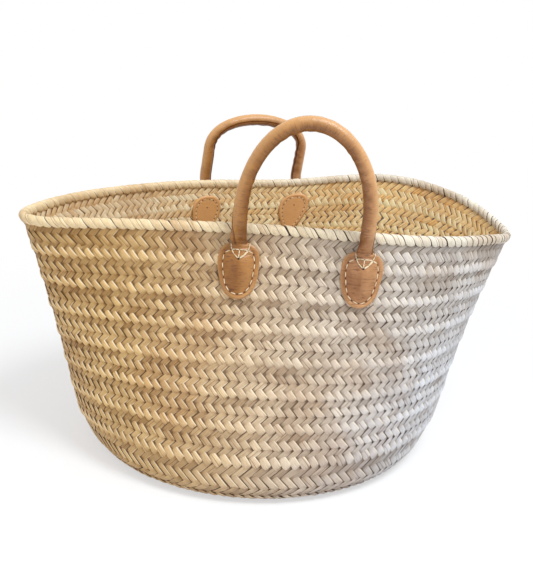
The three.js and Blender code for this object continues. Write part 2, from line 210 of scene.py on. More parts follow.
deselect()
bpy.ops.mesh.primitive_plane_add(size=FLOOR_SIZE, location=(0, 0, FLOOR_LEVEL))
floor = bpy.context.object
floor.name = "floor"
pale_floor = bpy.data.materials.new("pale_floor")
pale_floor.use_nodes = True
tree = pale_floor.node_tree
matt = tree.nodes["Principled BSDF"]
matt.inputs["Base Color"].default_value = (0.9, 0.9, 0.9, 1)
matt.inputs["Roughness"].default_value = 0.9
place = add_node(tree, "ShaderNodeTexCoord", (-900, 300)).outputs["Object"]
distance = add_node(tree, "ShaderNodeVectorMath", (-700, 300), operation="LENGTH")
feed(tree, distance.inputs[0], place)
far = mapped(tree, distance.outputs["Value"], FADE_START, FADE_END, 0.55, 1.0, (-500, 300))
whiteness = worked(tree, "MULTIPLY", seen(tree, (-500, 600)), far, place=(-300, 400))
white_glow = add_node(tree, "ShaderNodeEmission", (0, -200))
white_glow.inputs["Color"].default_value = (1, 1, 1, 1)
faded = mixed_shaders(tree, whiteness, matt.outputs[0], white_glow.outputs[0], (200, 0))
feed(tree, tree.nodes["Material Output"].inputs["Surface"], faded)
floor.data.materials.append(pale_floor)
print("stage:", floor.name)

# %% [markdown]
# ## Helpers for finishes
# A finish is one colour mixed over another again and again: a base, then fibres, blotches, edges and wear.
# Each mix is steered by a noise, by the place on the basket, or by numbers kept in the mesh. Colours are
# written as 0 to 255, as a picture program shows them, and turned into the linear values that Blender uses.

# %% Helpers for finishes


def srgb(red, green, blue):
    linear = [(c / 255) ** 2.2 for c in (red, green, blue)]
    return (*linear, 1)


def start_material(name):
    material = bpy.data.materials.new(name)
    material.use_nodes = True
    return material, material.node_tree, material.node_tree.nodes["Principled BSDF"]


def mixed(tree, factor, first, second, blend="MIX", place=(0, 0)):
    made = add_node(tree, "ShaderNodeMix", place, data_type="RGBA", blend_type=blend)
    for socket, value in ((made.inputs[0], factor), (made.inputs[6], first), (made.inputs[7], second)):
        feed(tree, socket, value)
    return made.outputs[2]


def noise(tree, vector, scale, detail=3.0, roughness=0.5, place=(0, 0)):
    made = add_node(tree, "ShaderNodeTexNoise", place)
    names = ("Vector", "Scale", "Detail", "Roughness")
    for name, given in zip(names, (vector, scale, detail, roughness)):
        feed(tree, made.inputs[name], given)
    return made.outputs["Fac"]


def stretched(tree, vector, scale, place=(0, 0)):
    made = add_node(tree, "ShaderNodeMapping", place)
    feed(tree, made.inputs["Vector"], vector)
    made.inputs["Scale"].default_value = scale
    return made.outputs["Vector"]


print("helpers: srgb, start_material, mixed, noise, stretched")

# %% [markdown]
# ## What a finish reads and sets
# A finish can read one axis of a place, and the numbers kept in a mesh. At its end, a bump stands for relief
# that is too fine to model, and the colour, the roughness and the bump go into the surface's own node.

# %% What a finish reads and sets


def axes(tree, vector, place=(0, 0)):
    """The X, Y and Z of a place."""
    made = add_node(tree, "ShaderNodeSeparateXYZ", place)
    feed(tree, made.inputs[0], vector)
    return made.outputs


def read_attribute(tree, name, place=(0, 0)):
    return add_node(tree, "ShaderNodeAttribute", place, attribute_name=name).outputs["Fac"]


def bumped(tree, height, strength, distance, place=(0, 0), under=None):
    """A bump's normals. What is given as under is the bump that it lies on."""
    made = add_node(tree, "ShaderNodeBump", place)
    made.inputs["Strength"].default_value = strength
    made.inputs["Distance"].default_value = distance
    feed(tree, made.inputs["Height"], height)
    if under is not None:
        feed(tree, made.inputs["Normal"], under)
    return made.outputs["Normal"]


def set_surface(tree, shader, colour, roughness, normal=None):
    feed(tree, shader.inputs["Base Color"], colour)
    shader.inputs["Roughness"].default_value = roughness
    if normal is not None:
        feed(tree, shader.inputs["Normal"], normal)


print("helpers: axes, read_attribute, bumped, set_surface")

# %% [markdown]
# ## What the palm leaf reads
# Dried date-palm leaf is straw coloured, with fine fibres along each strip and a dull sheen, and one edge of
# each strip gets a painted highlight. No two strips are alike, so a pattern laid over the whole basket would
# look printed.
# Instead the finish reads four things from each strip's mesh: a UV map that runs along and across the
# strip, a tone, a share for how much it faces the inside of the basket, and where it is folded.

# %% What the palm leaf reads
palm_leaf, tree, shader = start_material("palm_leaf")
strip = add_node(tree, "ShaderNodeUVMap", (-1800, 0), uv_map="leaf").outputs["UV"]
where = add_node(tree, "ShaderNodeTexCoord", (-1800, -400)).outputs["Object"]
tone = read_attribute(tree, "tone", (-1800, 400))
inner = read_attribute(tree, "inner", (-1800, 250))
fold = read_attribute(tree, "fold", (-1800, 550))
across_strip = axes(tree, strip, (-1600, -120))["Y"]
print("palm_leaf reads", len(tree.nodes) - 2, "nodes")

# %% [markdown]
# ## The palm leaf's colours
# The basket's warm side is on the left and its paler, greyer side on the right, so the colour drifts along X:
# partly the leaf's own colour, and partly painted cool light from the right. It is whitest and bluest low
# down at the front right, where cool light is painted. The inside of the basket is gold, painted pale as
# painted light in its shade. Each colour runs from a dark one to a pale one with the strip's tone.

# %% The palm leaf's colours
DRIFT_END = 0.20
LOW_RIGHT = (0.6, -0.5, -0.6)


def by_tone(dark, pale, place):
    return mixed(tree, tone, srgb(*dark), srgb(*pale), place=place)


# The drift along X is partly the leaf's own colour and partly painted cool light from the right.
drift = mapped(tree, axes(tree, where, (-1600, -500))["X"], -DRIFT_END, DRIFT_END, place=(-1250, -500))
# Painted cool light, whitest and bluest low at the front right.
low_right = add_node(tree, "ShaderNodeVectorMath", (-1450, -620), operation="DOT_PRODUCT")
feed(tree, low_right.inputs[0], where)
low_right.inputs[1].default_value = LOW_RIGHT
cool_lit = mapped(tree, low_right.outputs["Value"], 0.02, 0.11, place=(-1250, -620))
warm = by_tone((144, 104, 50), (233, 196, 134), (-1000, 300))
grey = by_tone((146, 137, 127), (230, 228, 226), (-1200, 100))
whitest = by_tone((146, 141, 138), (229, 235, 245), (-1200, 0))
cool = mixed(tree, cool_lit, grey, whitest, place=(-1000, 100))
outer = mixed(tree, drift, warm, cool, place=(-800, 200))
# The inside's gold is painted pale, as painted light in the shaded inside.
gold_left = by_tone((214, 172, 116), (255, 242, 208), (-1100, -100))
gold_right = by_tone((244, 187, 110), (255, 242, 192), (-1100, -200))
gold = mixed(tree, drift, gold_left, gold_right, place=(-950, -100))
colour = mixed(tree, inner, outer, gold, place=(-600, 100))
print("palm_leaf has its colours,", len(tree.nodes), "nodes")

# %% [markdown]
# ## Fibres, edges and folds
# Fibres and streaks are noise that is stretched along the strip. Blotches are noise in the basket's own
# space, because dirt doesn't follow the leaf. Across the strip, -1 and 1 are its two edges: one gets a
# painted highlight, and a thin line of painted shade marks both, as the gap between strips. Some strips have
# a fold along them, marked by a line of painted shade.

# %% Fibres, edges and folds
fibres = noise(tree, stretched(tree, strip, (0.9, 7.0, 1), (-1600, 0)), 1.6, 4, 0.6, (-1400, 0))
streaks = noise(tree, stretched(tree, strip, (0.25, 2.2, 1), (-1600, 100)), 1.5, 2, 0.5, (-1400, 120))
blotches = noise(tree, where, 14.0, 3, 0.55, (-1400, -400))
fibre_share = mapped(tree, fibres, 0.3, 0.72, 0.0, 0.42, (-1000, -300))
streak_share = mapped(tree, streaks, 0.52, 0.75, 0.0, 0.60, (-1000, -450))
blotch_share = mapped(tree, blotches, 0.45, 0.7, 0.0, 0.35, (-1000, -600))
colour = mixed(tree, fibre_share, colour, srgb(140, 104, 62), "MULTIPLY", (-400, 100))
colour = mixed(tree, streak_share, colour, srgb(250, 232, 196), "SOFT_LIGHT", (-250, 100))
colour = mixed(tree, blotch_share, colour, srgb(200, 160, 112), "MULTIPLY", (-100, 100))

# Painted highlight along one edge of each strip, stronger on pale strips.
highlit_edge = mapped(tree, across_strip, -0.86, -0.56, 1.0, 0.0, (-1250, -160))
edge_highlight_share = worked(tree, "MULTIPLY", highlit_edge, mapped(tree, tone, 0.35, 0.9, 0.05, 0.58, (-1100, -850)),
                    place=(-900, -750))
from_middle = worked(tree, "ABSOLUTE", across_strip, place=(-1450, -160))
# Painted shade: a thin dark line along both edges, as the gap between strips, weaker on the left.
both_edges = mapped(tree, from_middle, 0.87, 0.99, place=(-1250, -260))
gap_shade_share = worked(tree, "MULTIPLY", both_edges, mapped(tree, drift, 0.0, 1.0, 0.80, 1.0, (-1150, -400)),
                   place=(-1050, -300))
# Painted shade along the fold.
from_fold = worked(tree, "SUBTRACT", across_strip, fold, place=(-1450, 560))
near_fold = worked(tree, "ABSOLUTE", from_fold, place=(-1300, 560))
fold_shade = mapped(tree, near_fold, 0.02, 0.11, 0.75, 0.0, (-1150, 560))
colour = mixed(tree, edge_highlight_share, colour, srgb(252, 238, 208), place=(50, 100))
colour = mixed(tree, fold_shade, colour, srgb(150, 112, 70), "MULTIPLY", (150, 100))
colour = mixed(tree, gap_shade_share, colour, srgb(92, 62, 34), "MULTIPLY", (250, 100))

set_surface(tree, shader, colour, 0.50, bumped(tree, fibres, 0.35, 0.0004, (50, -250)))
shader.inputs["Specular IOR Level"].default_value = 0.35
shader.location = (400, 100)
tree.nodes["Material Output"].location = (700, 100)
print("material: palm_leaf,", len(tree.nodes), "nodes")

# %% [markdown]
# ## The mouth
# The mouth of the real basket is no oval: it was squeezed by hand, and its rim rises and falls. Here it is a
# smooth closed curve through twelve points. Each point is given as shares of the mouth's half size, so the
# whole mouth can be made larger or moved without touching them.

# %% The mouth
MOUTH_HALF_SIZE, MOUTH_MIDDLE = [287, 155, 20], [16, 24, 282.5]  # mm
MOUTH = np.array([
    [1.00, -0.20, -1.10], [0.92, 0.42, 0.10], [0.63, 0.85, 0.75], [0.13, 1.00, 0.0],
    [-0.37, 0.80, 0.0], [-0.79, 0.31, -0.05], [-1.00, -0.23, -0.20], [-0.94, -0.47, -0.30],
    [-0.59, -0.64, -0.05], [-0.12, -0.80, 0.05], [0.39, -1.00, -0.05], [0.77, -0.73, -0.50],
]) * MOUTH_HALF_SIZE + MOUTH_MIDDLE


def closed_curve(points, shares):
    count = len(points)
    first = np.floor(shares * count).astype(int)
    way = (shares * count - first)[:, None]
    before, start, end, after = (points[(first + step) % count] for step in (-1, 0, 1, 2))
    leave, arrive = (end - before) / 2, (after - start) / 2
    return (start + leave * way + (3 * (end - start) - 2 * leave - arrive) * way ** 2
            + (2 * (start - end) + leave + arrive) * way ** 3)


def lengths_along(points):
    """The length of a line of points up to each of them."""
    return np.concatenate([[0], np.cumsum(np.linalg.norm(np.diff(points, axis=0), axis=1))])


MOUTH_STEPS = np.arange(481) / 480
mouth_length = lengths_along(closed_curve(MOUTH, MOUTH_STEPS))
print("mouth", round(mouth_length[-1]), "mm round")

# %% [markdown]
# ## The wall
# Every strip of leaf lies on one surface, so the surface is worked out once, in mm. The foot of the wall is
# a plain oval. Between foot and mouth the wall bulges a little, and it tucks in where it meets the base. A
# place on it is a share of the way round, from the right end by the back, and a share of the way up.

# %% The wall
FOOT_HALF_LENGTH, FOOT_HALF_WIDTH = 218, 200
FOOT_TWIST = math.radians(4)
TUCK, TUCK_END, BULGE = 16, 0.25, 20
FACE = 2.5  # half the plait's thickness


def wall_point(around, up):
    """A place in the middle of the wall's thickness."""
    around, up = np.broadcast_arrays(np.asarray(around, float), np.asarray(up, float))
    steps = np.interp((around % 1).ravel() * mouth_length[-1], mouth_length, MOUTH_STEPS)
    mouth = closed_curve(MOUTH, steps % 1).reshape(*around.shape, 3)
    angle = 2 * np.pi * around - FOOT_TWIST
    outward = np.stack([np.cos(angle), np.sin(angle), 0 * angle], -1)
    foot = outward * [FOOT_HALF_LENGTH, FOOT_HALF_WIDTH, 0] + [0, 0, FACE]
    tucked = TUCK * np.maximum(0, 1 - up / TUCK_END) ** 2 + BULGE * up * (1 - up)
    return foot + (mouth - foot) * up[..., None] - outward * tucked[..., None]


print("right end of the wall: foot", wall_point(0, 0).round(1), "rim", wall_point(0, 1).round(1))

# %% [markdown]
# ## The lines of the plait
# The turns of the plait are counted by the lines between them: 0 is the edge of the coiled start, 5 the
# edge of the base and 13 the rim. The base's lines are smaller copies of its edge. A place half a turn up
# has a line number with a half in it, so any strip of leaf can be laid by two numbers.

# %% The lines of the plait
BASE_TURNS, WALL_TURNS = 5, 8
LINES = BASE_TURNS + WALL_TURNS
LINE_MARKS = np.arange(BASE_TURNS, LINES + 1)
LINE_SHARES = np.concatenate([[0], np.linspace(0.165, 0.86, WALL_TURNS - 1), [1]])
START_RADIUS = 20
LEAF_PITCH = 9.9


def line_point(around, line):
    """A place on any line of the plait, also between two lines."""
    around, line = np.broadcast_arrays(np.asarray(around, float), np.asarray(line, float))
    wall = wall_point(around, np.interp(line, LINE_MARKS, LINE_SHARES))
    edge = wall_point(around, 0 * line)
    centre = START_RADIUS / (FOOT_HALF_LENGTH - TUCK)
    share = centre + (1 - centre) * line / BASE_TURNS
    base = edge * np.stack([share, share, 0 * share + 1], -1)
    return np.where((line > BASE_TURNS)[..., None], wall, base)


def turn_length(line):
    ring = line_point(np.arange(361) / 360, np.full(361, float(line)))
    return np.linalg.norm(np.diff(ring, axis=0), axis=1).sum()


print("rim", round(turn_length(LINES)), "mm round, base", round(turn_length(BASE_TURNS)), "mm round")

# %% [markdown]
# ## A table of the surface
# Thousands of strips ask for places, so a table of them is filled once and read between its entries. Near
# the edge of the base each entry is the mean of five places along the lines, which rounds the corner. The
# same table gives the direction out of the plait's face and the direction up along it.

# %% A table of the surface
ROUND_STEPS, LINE_STEPS = 960, 14
ROUNDING, ROUNDED_LINES = 0.42, 1.2

table_round = np.arange(ROUND_STEPS)[:, None] / ROUND_STEPS
table_line = (np.arange(LINES * LINE_STEPS + 1) / LINE_STEPS)[None, :]
table = np.zeros((ROUND_STEPS, LINES * LINE_STEPS + 1, 3))
for step in (-1, -0.5, 0, 0.5, 1):
    reach = ROUNDING * np.maximum(0, 1 - np.abs(table_line - BASE_TURNS) / ROUNDED_LINES)
    table += line_point(table_round, table_line + step * reach) / 5
along = np.roll(table, -1, axis=0) - np.roll(table, 1, axis=0)
across = np.gradient(table, axis=1)
outward = np.cross(along, across)
outward /= np.linalg.norm(outward, axis=-1, keepdims=True)
rising = across / np.linalg.norm(across, axis=-1, keepdims=True)


def look_up(grid, around, line):
    column = (around % 1) * ROUND_STEPS
    row = np.clip(line, 0, LINES) * LINE_STEPS
    left = np.floor(column).astype(int)
    low = np.minimum(np.floor(row).astype(int), LINES * LINE_STEPS - 1)
    way, rise = (column - left)[..., None], (row - low)[..., None]
    left, next_left = left % ROUND_STEPS, (left + 1) % ROUND_STEPS
    lower = grid[left, low] * (1 - way) + grid[next_left, low] * way
    upper = grid[left, low + 1] * (1 - way) + grid[next_left, low + 1] * way
    return lower * (1 - rise) + upper * rise


def on_plait(around, line, out):
    """Places on the plait, so many mm out from the middle of its thickness."""
    return look_up(table, around, line) + look_up(outward, around, line) * out[..., None]


def turn_height(line):
    """The middle height of the turn above a line, in mm."""
    around, level = np.arange(24) / 24, np.zeros(24)
    step = on_plait(around, level + (line + 0.7), level) - on_plait(around, level + (line + 0.3), level)
    return float(np.linalg.norm(step, axis=1).mean() / 0.4)


print("table:", table.shape[:2], "places, the lowest wall turn is", round(turn_height(BASE_TURNS)), "mm high")

# %% [markdown]
# ## A slab to start from
# Pieces that come in hundreds are modelled once and then copied. Each one starts as a slab: a grid that is
# extruded downwards, whose columns and rows are moved to where the shape needs them. The finished shape is
# read as lists of places and faces, which can be laid anywhere, and the object itself is removed.

# %% A slab to start from


def read_template(obj):
    """The object's places and faces. The object is removed."""
    mesh = obj.data
    places = np.array([v.co[:] for v in mesh.vertices])
    faces = [list(p.vertices) for p in mesh.polygons]
    bpy.data.objects.remove(obj)
    bpy.data.meshes.remove(mesh)
    return places, faces


def outward_normals(obj):
    bpy.ops.object.mode_set(mode="EDIT")
    bpy.ops.mesh.select_all(action="SELECT")
    bpy.ops.mesh.normals_make_consistent(inside=False)
    bpy.ops.object.mode_set(mode="OBJECT")


def grid_slab(columns, rows, thickness):
    """A closed slab: a grid of so many columns and rows, extruded downwards."""
    deselect()
    bpy.ops.mesh.primitive_grid_add(x_subdivisions=columns, y_subdivisions=rows, size=2)
    obj = bpy.context.object
    bpy.ops.object.mode_set(mode="EDIT")
    bpy.ops.mesh.extrude_region_move(TRANSFORM_OT_translate={"value": (0, 0, -thickness)})
    bpy.ops.object.mode_set(mode="OBJECT")
    return obj


def leaf_slab(columns, rows, thickness):
    """A slab whose columns and rows are moved to the given places along and across."""
    obj = grid_slab(len(columns) - 1, len(rows) - 1, thickness)
    for vertex in obj.data.vertices:
        vertex.co.x = columns[round((vertex.co.x + 1) / 2 * (len(columns) - 1))]
        vertex.co.y = rows[round((vertex.co.y + 1) / 2 * (len(rows) - 1))]
    outward_normals(obj)
    return obj


print("helpers: read_template, outward_normals, grid_slab, leaf_slab")

# %% [markdown]
# ## One float of leaf
# In a plait, each strip of leaf goes over two strips and under two. The part that shows is called a float:
# a short piece of leaf, slightly crowned, that dives under its neighbours at both ends. A slab's middle is
# raised for the crown, and its ends are lowered. It is kept in its own units: -1 to 1 along and across, and
# mm for height. A float that runs the other way is the same shape lying flatter: its ends sink under the
# crossing leaf.

# %% One float of leaf
CROSS_ROWS = [-1, -0.70, 0, 0.70, 1]
DIVE_START, DIVE_LENGTH = 0.72, 0.28
FLOAT_CROWN, FLOAT_DIVE = 0.70, 1.1
FLAT_CROWN_LOSS, FLAT_DIVE = 0.10, 0.7

leaf_float = leaf_slab([-1, -0.86, -0.45, 0.45, 0.86, 1], CROSS_ROWS, 1.0)
for vertex in leaf_float.data.vertices:
    dive = max(0, (abs(vertex.co.x) - DIVE_START) / DIVE_LENGTH)
    vertex.co.z += FLOAT_CROWN * (1 - abs(vertex.co.y) ** 3) - FLOAT_DIVE * dive ** 2
FLOAT_PLACES, FLOAT_FACES = read_template(leaf_float)
FLAT_PLACES = FLOAT_PLACES.copy()
FLAT_PLACES[:, 2] += FLOAT_DIVE * (np.maximum(0, np.abs(FLAT_PLACES[:, 0]) - DIVE_START) / DIVE_LENGTH) ** 2
FLAT_PLACES[:, 2] -= FLAT_CROWN_LOSS * (1 - np.abs(FLAT_PLACES[:, 1]) ** 3)
FLAT_PLACES[:, 2] -= FLAT_DIVE * FLAT_PLACES[:, 0] ** 4
print("float:", len(FLOAT_PLACES), "places,", len(FLOAT_FACES), "faces")

# %% [markdown]
# ## One grain of the ridge
# Where two turns of the plait meet, the leaf folds round the sewing cord. The folds stand proud as a ridge
# of plump grains that lean the same way and overlap. A grain is a slab like a float, with a higher crown.
# Its lower end is round, and its upper end is narrower and dives under the row above.

# %% One grain of the ridge
GRAIN_CROWN, LOW_DIVE, HIGH_DIVE = 1.40, 1.3, 1.9

grain = leaf_slab([-1, -0.82, -0.45, 0.1, 0.6, 1], [-1, -0.66, 0, 0.66, 1], 1.2)
for vertex in grain.data.vertices:
    low = max(0, (-vertex.co.x - 0.45) / 0.55)
    high = max(0, (vertex.co.x - 0.25) / 0.75)
    vertex.co.z += GRAIN_CROWN * (1 - abs(vertex.co.y) ** 2.6) - LOW_DIVE * low ** 2.4 - HIGH_DIVE * high ** 2
    vertex.co.y *= 1 - 0.10 * low ** 2 - 0.12 * high ** 2
GRAIN_PLACES, GRAIN_FACES = read_template(grain)
print("grain:", len(GRAIN_PLACES), "places,", len(GRAIN_FACES), "faces")

# %% [markdown]
# ## From places to an object
# Every piece below is worked out as places in mm and faces between them. One helper makes the object: its
# mesh in metres at the origin, its material, its UV map and the numbers that its finish reads. Faces that
# meet at less than an angle are shaded as one smooth surface.

# %% From places to an object
MM = 0.001


def make_object(name, places, faces, material, angle, uv=None, **attributes):
    mesh = bpy.data.meshes.new(name)
    mesh.from_pydata((places * MM).tolist(), [], faces)
    if uv is not None:
        corners = np.zeros(len(mesh.loops), dtype=np.int32)
        mesh.loops.foreach_get("vertex_index", corners)
        layer = mesh.uv_layers.new(name="leaf")
        layer.uv.foreach_set("vector", uv[corners].astype(np.float32).ravel())
    for label, values in attributes.items():
        attribute = mesh.attributes.new(label, "FLOAT", "POINT")
        attribute.data.foreach_set("value", values.astype(np.float32))
    obj = bpy.data.objects.new(name, mesh)
    scene.collection.objects.link(obj)
    mesh.materials.append(material)
    deselect()
    obj.select_set(True)
    bpy.context.view_layer.objects.active = obj
    bpy.ops.object.shade_smooth_by_angle(angle=math.radians(angle))
    return obj


def ring_faces(stations, corners):
    """The faces of a closed ring with so many stations round it and corners in its section."""
    faces = []
    for station in range(stations):
        here, there = station * corners, (station + 1) % stations * corners
        for corner in range(corners):
            after = (corner + 1) % corners
            faces.append([here + corner, there + corner, there + after, here + after])
    return faces


print("helpers: make_object, ring_faces")

# %% [markdown]
# ## Copies along a turn
# A turn holds hundreds of floats and grains. The template is copied that many times, each copy with its
# own places, jitter, width and tone, and all of a turn's copies are joined as one piece. The joined mesh
# carries the UV map and the attributes that the leaf's finish reads. The chance is seeded, so the basket
# comes out the same each time.

# %% Copies along a turn
rng = np.random.default_rng(11)
FOLDED_SHARE = 0.22
NO_FOLD = 9.0  # far off the strip's edge, where no line is drawn


class Strips:
    """Collects copies of templates for one piece."""

    def __init__(self):
        self.places, self.faces, self.uv, self.tone, self.inner, self.fold = [], [], [], [], [], []
        self.count = 0

    def add(self, places, faces, uv, tone, inner, shade=0.0):
        """Adds copies: places (copies, points, 3), uv (copies, points, 2), tone and inner (copies,)."""
        copies, points = places.shape[:2]
        self.places.append(places.reshape(-1, 3))
        self.uv.append(uv.reshape(-1, 2))
        self.tone.append((tone[:, None] + shade + np.zeros((copies, points))).ravel())
        self.inner.append(np.repeat(np.broadcast_to(inner, copies), points))
        folded = rng.uniform(0, 1, copies) < FOLDED_SHARE
        fold = np.where(folded, rng.uniform(-0.45, 0.45, copies), NO_FOLD)
        self.fold.append(np.repeat(fold, points))
        for copy in range(copies):
            first = self.count + copy * points
            self.faces += [[first + corner for corner in face] for face in faces]
        self.count += copies * points

    def make(self, name, angle=50):
        places, uv, tone, inner, fold = (
            np.concatenate(parts) for parts in (self.places, self.uv, self.tone, self.inner, self.fold))
        return make_object(name, places, self.faces, palm_leaf, angle, uv, tone=tone, inner=inner, fold=fold)


print("helper: Strips")

# %% [markdown]
# ## Chance in the leaf
# Hand work is never quite regular, and no two strips of leaf are alike. Each copy gets small chance
# differences, its own stretch of a long strip for the fibres, and its own tone.

# %% Chance in the leaf


def scatter(size, count):
    """One small chance difference for each copy."""
    return rng.normal(0, size, (count, 1))


def leaf_uv(template, copies, length):
    """Each copy shows its own stretch of leaf, somewhere along a strip of 40."""
    along = template[None, :, 0] * length / 2 + rng.uniform(0, 40, (copies, 1))
    across = np.broadcast_to(template[None, :, 1], (copies, len(template))) + 0.0
    return np.stack([along, across], -1)


def leaf_tones(copies, middle=0.5, spread=0.10):
    """A tone for each copy. Neighbours are alike, because the tone also drifts slowly along the row."""
    way = np.arange(copies) * 2 * np.pi / copies
    drift = sum(rng.uniform(0.03, 0.07) * np.sin(way * waves + rng.uniform(0, 6.3)) for waves in (2, 5, 11))
    return np.clip(middle + drift + rng.normal(0, spread, copies), 0, 1)


print("helpers: scatter, leaf_uv, leaf_tones")

# %% [markdown]
# ## The rows of a turn
# From one ridge up to the next, a turn shows three rows of floats: rising, falling and rising, like an
# arrow pattern. The falling leaf is steeper than the rising leaf, and each float's ends are cut by the
# leaf that crosses it. So a float is laid out as a slanted box: its length follows its own lean and its
# width the other lean. The row just below a ridge lies deepest, in its shadow. The inside of the basket
# shows the other side of the same leaf, so there each row leans the other way.

# %% The rows of a turn
FALL, RISE, DEEP_RISE = (math.tan(math.radians(degrees)) for degrees in (49, 42, 45))
# For each row: middle and half height as shares of the turn, lean, mm out, tone, and shift round in floats.
# The tones are painted light and shade: the deep row under the ridge is painted dark and the falling row
# pale.
ROWS = [(0.250, 0.160, "rise", 1.30, 0.55, 0.0), (0.500, 0.158, "fall", 1.20, 0.64, 0.06),
        (0.745, 0.158, "deep", 0.85, 0.38, 0.02)]
TOP_ROWS = [(0.180, 0.150, "rise", 1.15, 0.44, 0.0), (0.380, 0.160, "fall", 1.30, 0.60, 0.06),
            (0.625, 0.175, "deep", 1.10, 0.36, 0.02)]
INSIDE_HEIGHT = 0.9
# How a float lies: its roll about its length, and its tilt along it, in mm from middle to edge or end
FALLING_ROLL, RISING_ROLL = -0.26, 0.16
FALLING_TILT, RISING_TILT = -0.35, 0.45
# The top turns are darker outside and paler inside
TOP_TONED_TURNS, TOP_OUTSIDE_SHIFT, TOP_INSIDE_SHIFT = 3, -0.11, 0.05
print("rows:", len(ROWS), "in a turn, on each side")

# %% [markdown]
# ## Depth and painted shade
# Three small things make the plait look real. What would poke out on the other side of the plait is pressed
# flat. The ends of each float are painted darker than its middle, as shade where it dives into the gap, and
# its middle a little paler, as painted light on its crown. And the lowest leaf outside is painted darker, as
# shade where the base turns under towards the ground.

# %% Depth and painted shade
# Painted shade low on the outside, where the base turns under: how dark it is, and from what height in mm it
# fades out over how many mm.
BASE_SHADE, BASE_SHADE_LOW, BASE_SHADE_DEPTH = -0.48, 6, 12


def tucked_in(height):
    """Heights over the middle of the plait, pressed flat past the far side of the middle."""
    return np.where(height < -0.2, -0.2 + 0.15 * (height + 0.2), height)


def shaded(template, places, side, middle, end):
    """How much paler or darker each place is: a painted highlight in the middle, painted shade at the ends,
    and painted shade low down outside.
    """
    shade = middle - end * np.abs(template[:, 0]) ** 2.5
    if side > 0:
        shade = shade + BASE_SHADE * np.clip(1 - (places[:, :, 2] - BASE_SHADE_LOW) / BASE_SHADE_DEPTH, 0, 1)
    return shade


print("helpers: tucked_in, shaded")

# %% [markdown]
# ## Laying a row of floats
# A row is laid in numbers that count floats round the turn and shares of the turn's height. Each float
# differs a little in length, width, place, roll and depth. A regular row would look machine made.

# %% Laying a row of floats


def lay_floats(strips, line, count, row, side):
    """One row of floats round a turn. side is 1 for the outside and -1 for the inside."""
    middle, half, lean, height, tone, shift = row
    falling = (lean == "fall") == (side > 0)
    template = FLOAT_PLACES if falling else FLAT_PLACES
    x, y, z = template[None, :, 0], template[None, :, 1], template[None, :, 2]
    tall = turn_height(line) / ((turn_length(line) + turn_length(line + 1)) / 2 / count)
    rise, fall = tall / (DEEP_RISE if lean == "deep" else RISE), tall / FALL
    along = x * half * (1 + scatter(0.05, count))
    across = y * 0.5 / (rise + fall) * (0.985 + scatter(0.03, count))
    if falling:
        around = -fall * along - side * rise * across
        up = along - side * across
    else:
        around = rise * along - side * fall * across
        up = along + side * across
    copies = np.arange(count)[:, None]
    around = copies + shift + around + scatter(0.035, count) * x + scatter(0.02, count)
    roll = ((FALLING_ROLL if falling else RISING_ROLL) * side + scatter(0.10, count)) * y
    tilt = (FALLING_TILT if falling else RISING_TILT) * (1 if side > 0 else 0.4) * x
    out = (height if side > 0 else INSIDE_HEIGHT) + z + scatter(0.08, count) + roll + tilt
    lines = line + middle + up + scatter(0.006, count)
    places = on_plait(around / count, lines, side * tucked_in(out))
    # The top turns get a darker tone outside and a paler one inside.
    if line >= LINES - TOP_TONED_TURNS:
        tone += TOP_OUTSIDE_SHIFT if side > 0 else TOP_INSIDE_SHIFT
    strips.add(places, FLOAT_FACES, leaf_uv(template, count, 1.3), leaf_tones(count, tone), float(side < 0),
               shaded(template, places, side, 0.12, 0.46))


print("helper: lay_floats")

# %% [markdown]
# ## Laying a ridge
# The grains of a ridge are laid in mm, one for each float, on the seam at the turn's lower edge. Inside the
# basket, where nothing rubs it, the ridge is flatter.

# %% Laying a ridge
GRAIN_HALF_LENGTH, GRAIN_OVERLAP = 6.6, 1.12
GRAIN_HEIGHT, GRAIN_ROLL = 1.55, -0.50
RIM_TURN_HEIGHT = 33.0  # the top turn reaches up into the rim, so its measured height isn't used


def lay_grains(strips, line, count, side):
    template = GRAIN_PLACES
    x, y, z = template[None, :, 0], template[None, :, 1], template[None, :, 2]
    slope = math.atan(FALL) + scatter(0.04, count)
    pitch = turn_length(line) / count
    along = x * GRAIN_HALF_LENGTH * (1 + scatter(0.05, count))
    across = y * (pitch * math.sin(math.atan(FALL)) / 2) * (GRAIN_OVERLAP + scatter(0.05, count))
    around_mm = -along * np.cos(slope) - across * np.sin(slope)
    up_mm = along * np.sin(slope) - across * np.cos(slope)
    around = np.arange(count)[:, None] + 0.09 + side * around_mm / pitch + scatter(0.025, count)
    tall = turn_height(line) if line < LINES - 1 else RIM_TURN_HEIGHT
    lines = line + (up_mm + 0.4 + scatter(0.2, count)) / tall
    if line == 0:
        lines = np.maximum(lines, 0)
    plump = 1.0 if side > 0 else 0.7
    roll = (GRAIN_ROLL + scatter(0.12, count)) * y
    out = side * tucked_in(GRAIN_HEIGHT * plump + plump * z + scatter(0.10, count) + roll)
    places = on_plait(around / count, lines, out)
    # The grains' high tone is painted light on the ridge.
    strips.add(places, GRAIN_FACES, leaf_uv(template, count, 1.4), leaf_tones(count, 0.82, 0.10),
               float(side < 0), shaded(template, places, side, 0.10, 0.42))


print("helper: lay_grains")

# %% [markdown]
# ## Thirteen turns of plait
# Under the floats lies a thin closed band, the strips' hidden halves, so that no light comes through. It is
# painted dark, as the shade in the gaps between floats.
# Each turn is one piece, named and placed as its solid in the frame, and it takes the sewing cord at its
# lower edge with it, because the cord is hidden inside the ridge.

# %% Thirteen turns of plait
LINING_STATIONS, LINING_LEVELS, LINING_HALF = 144, 5, 0.5


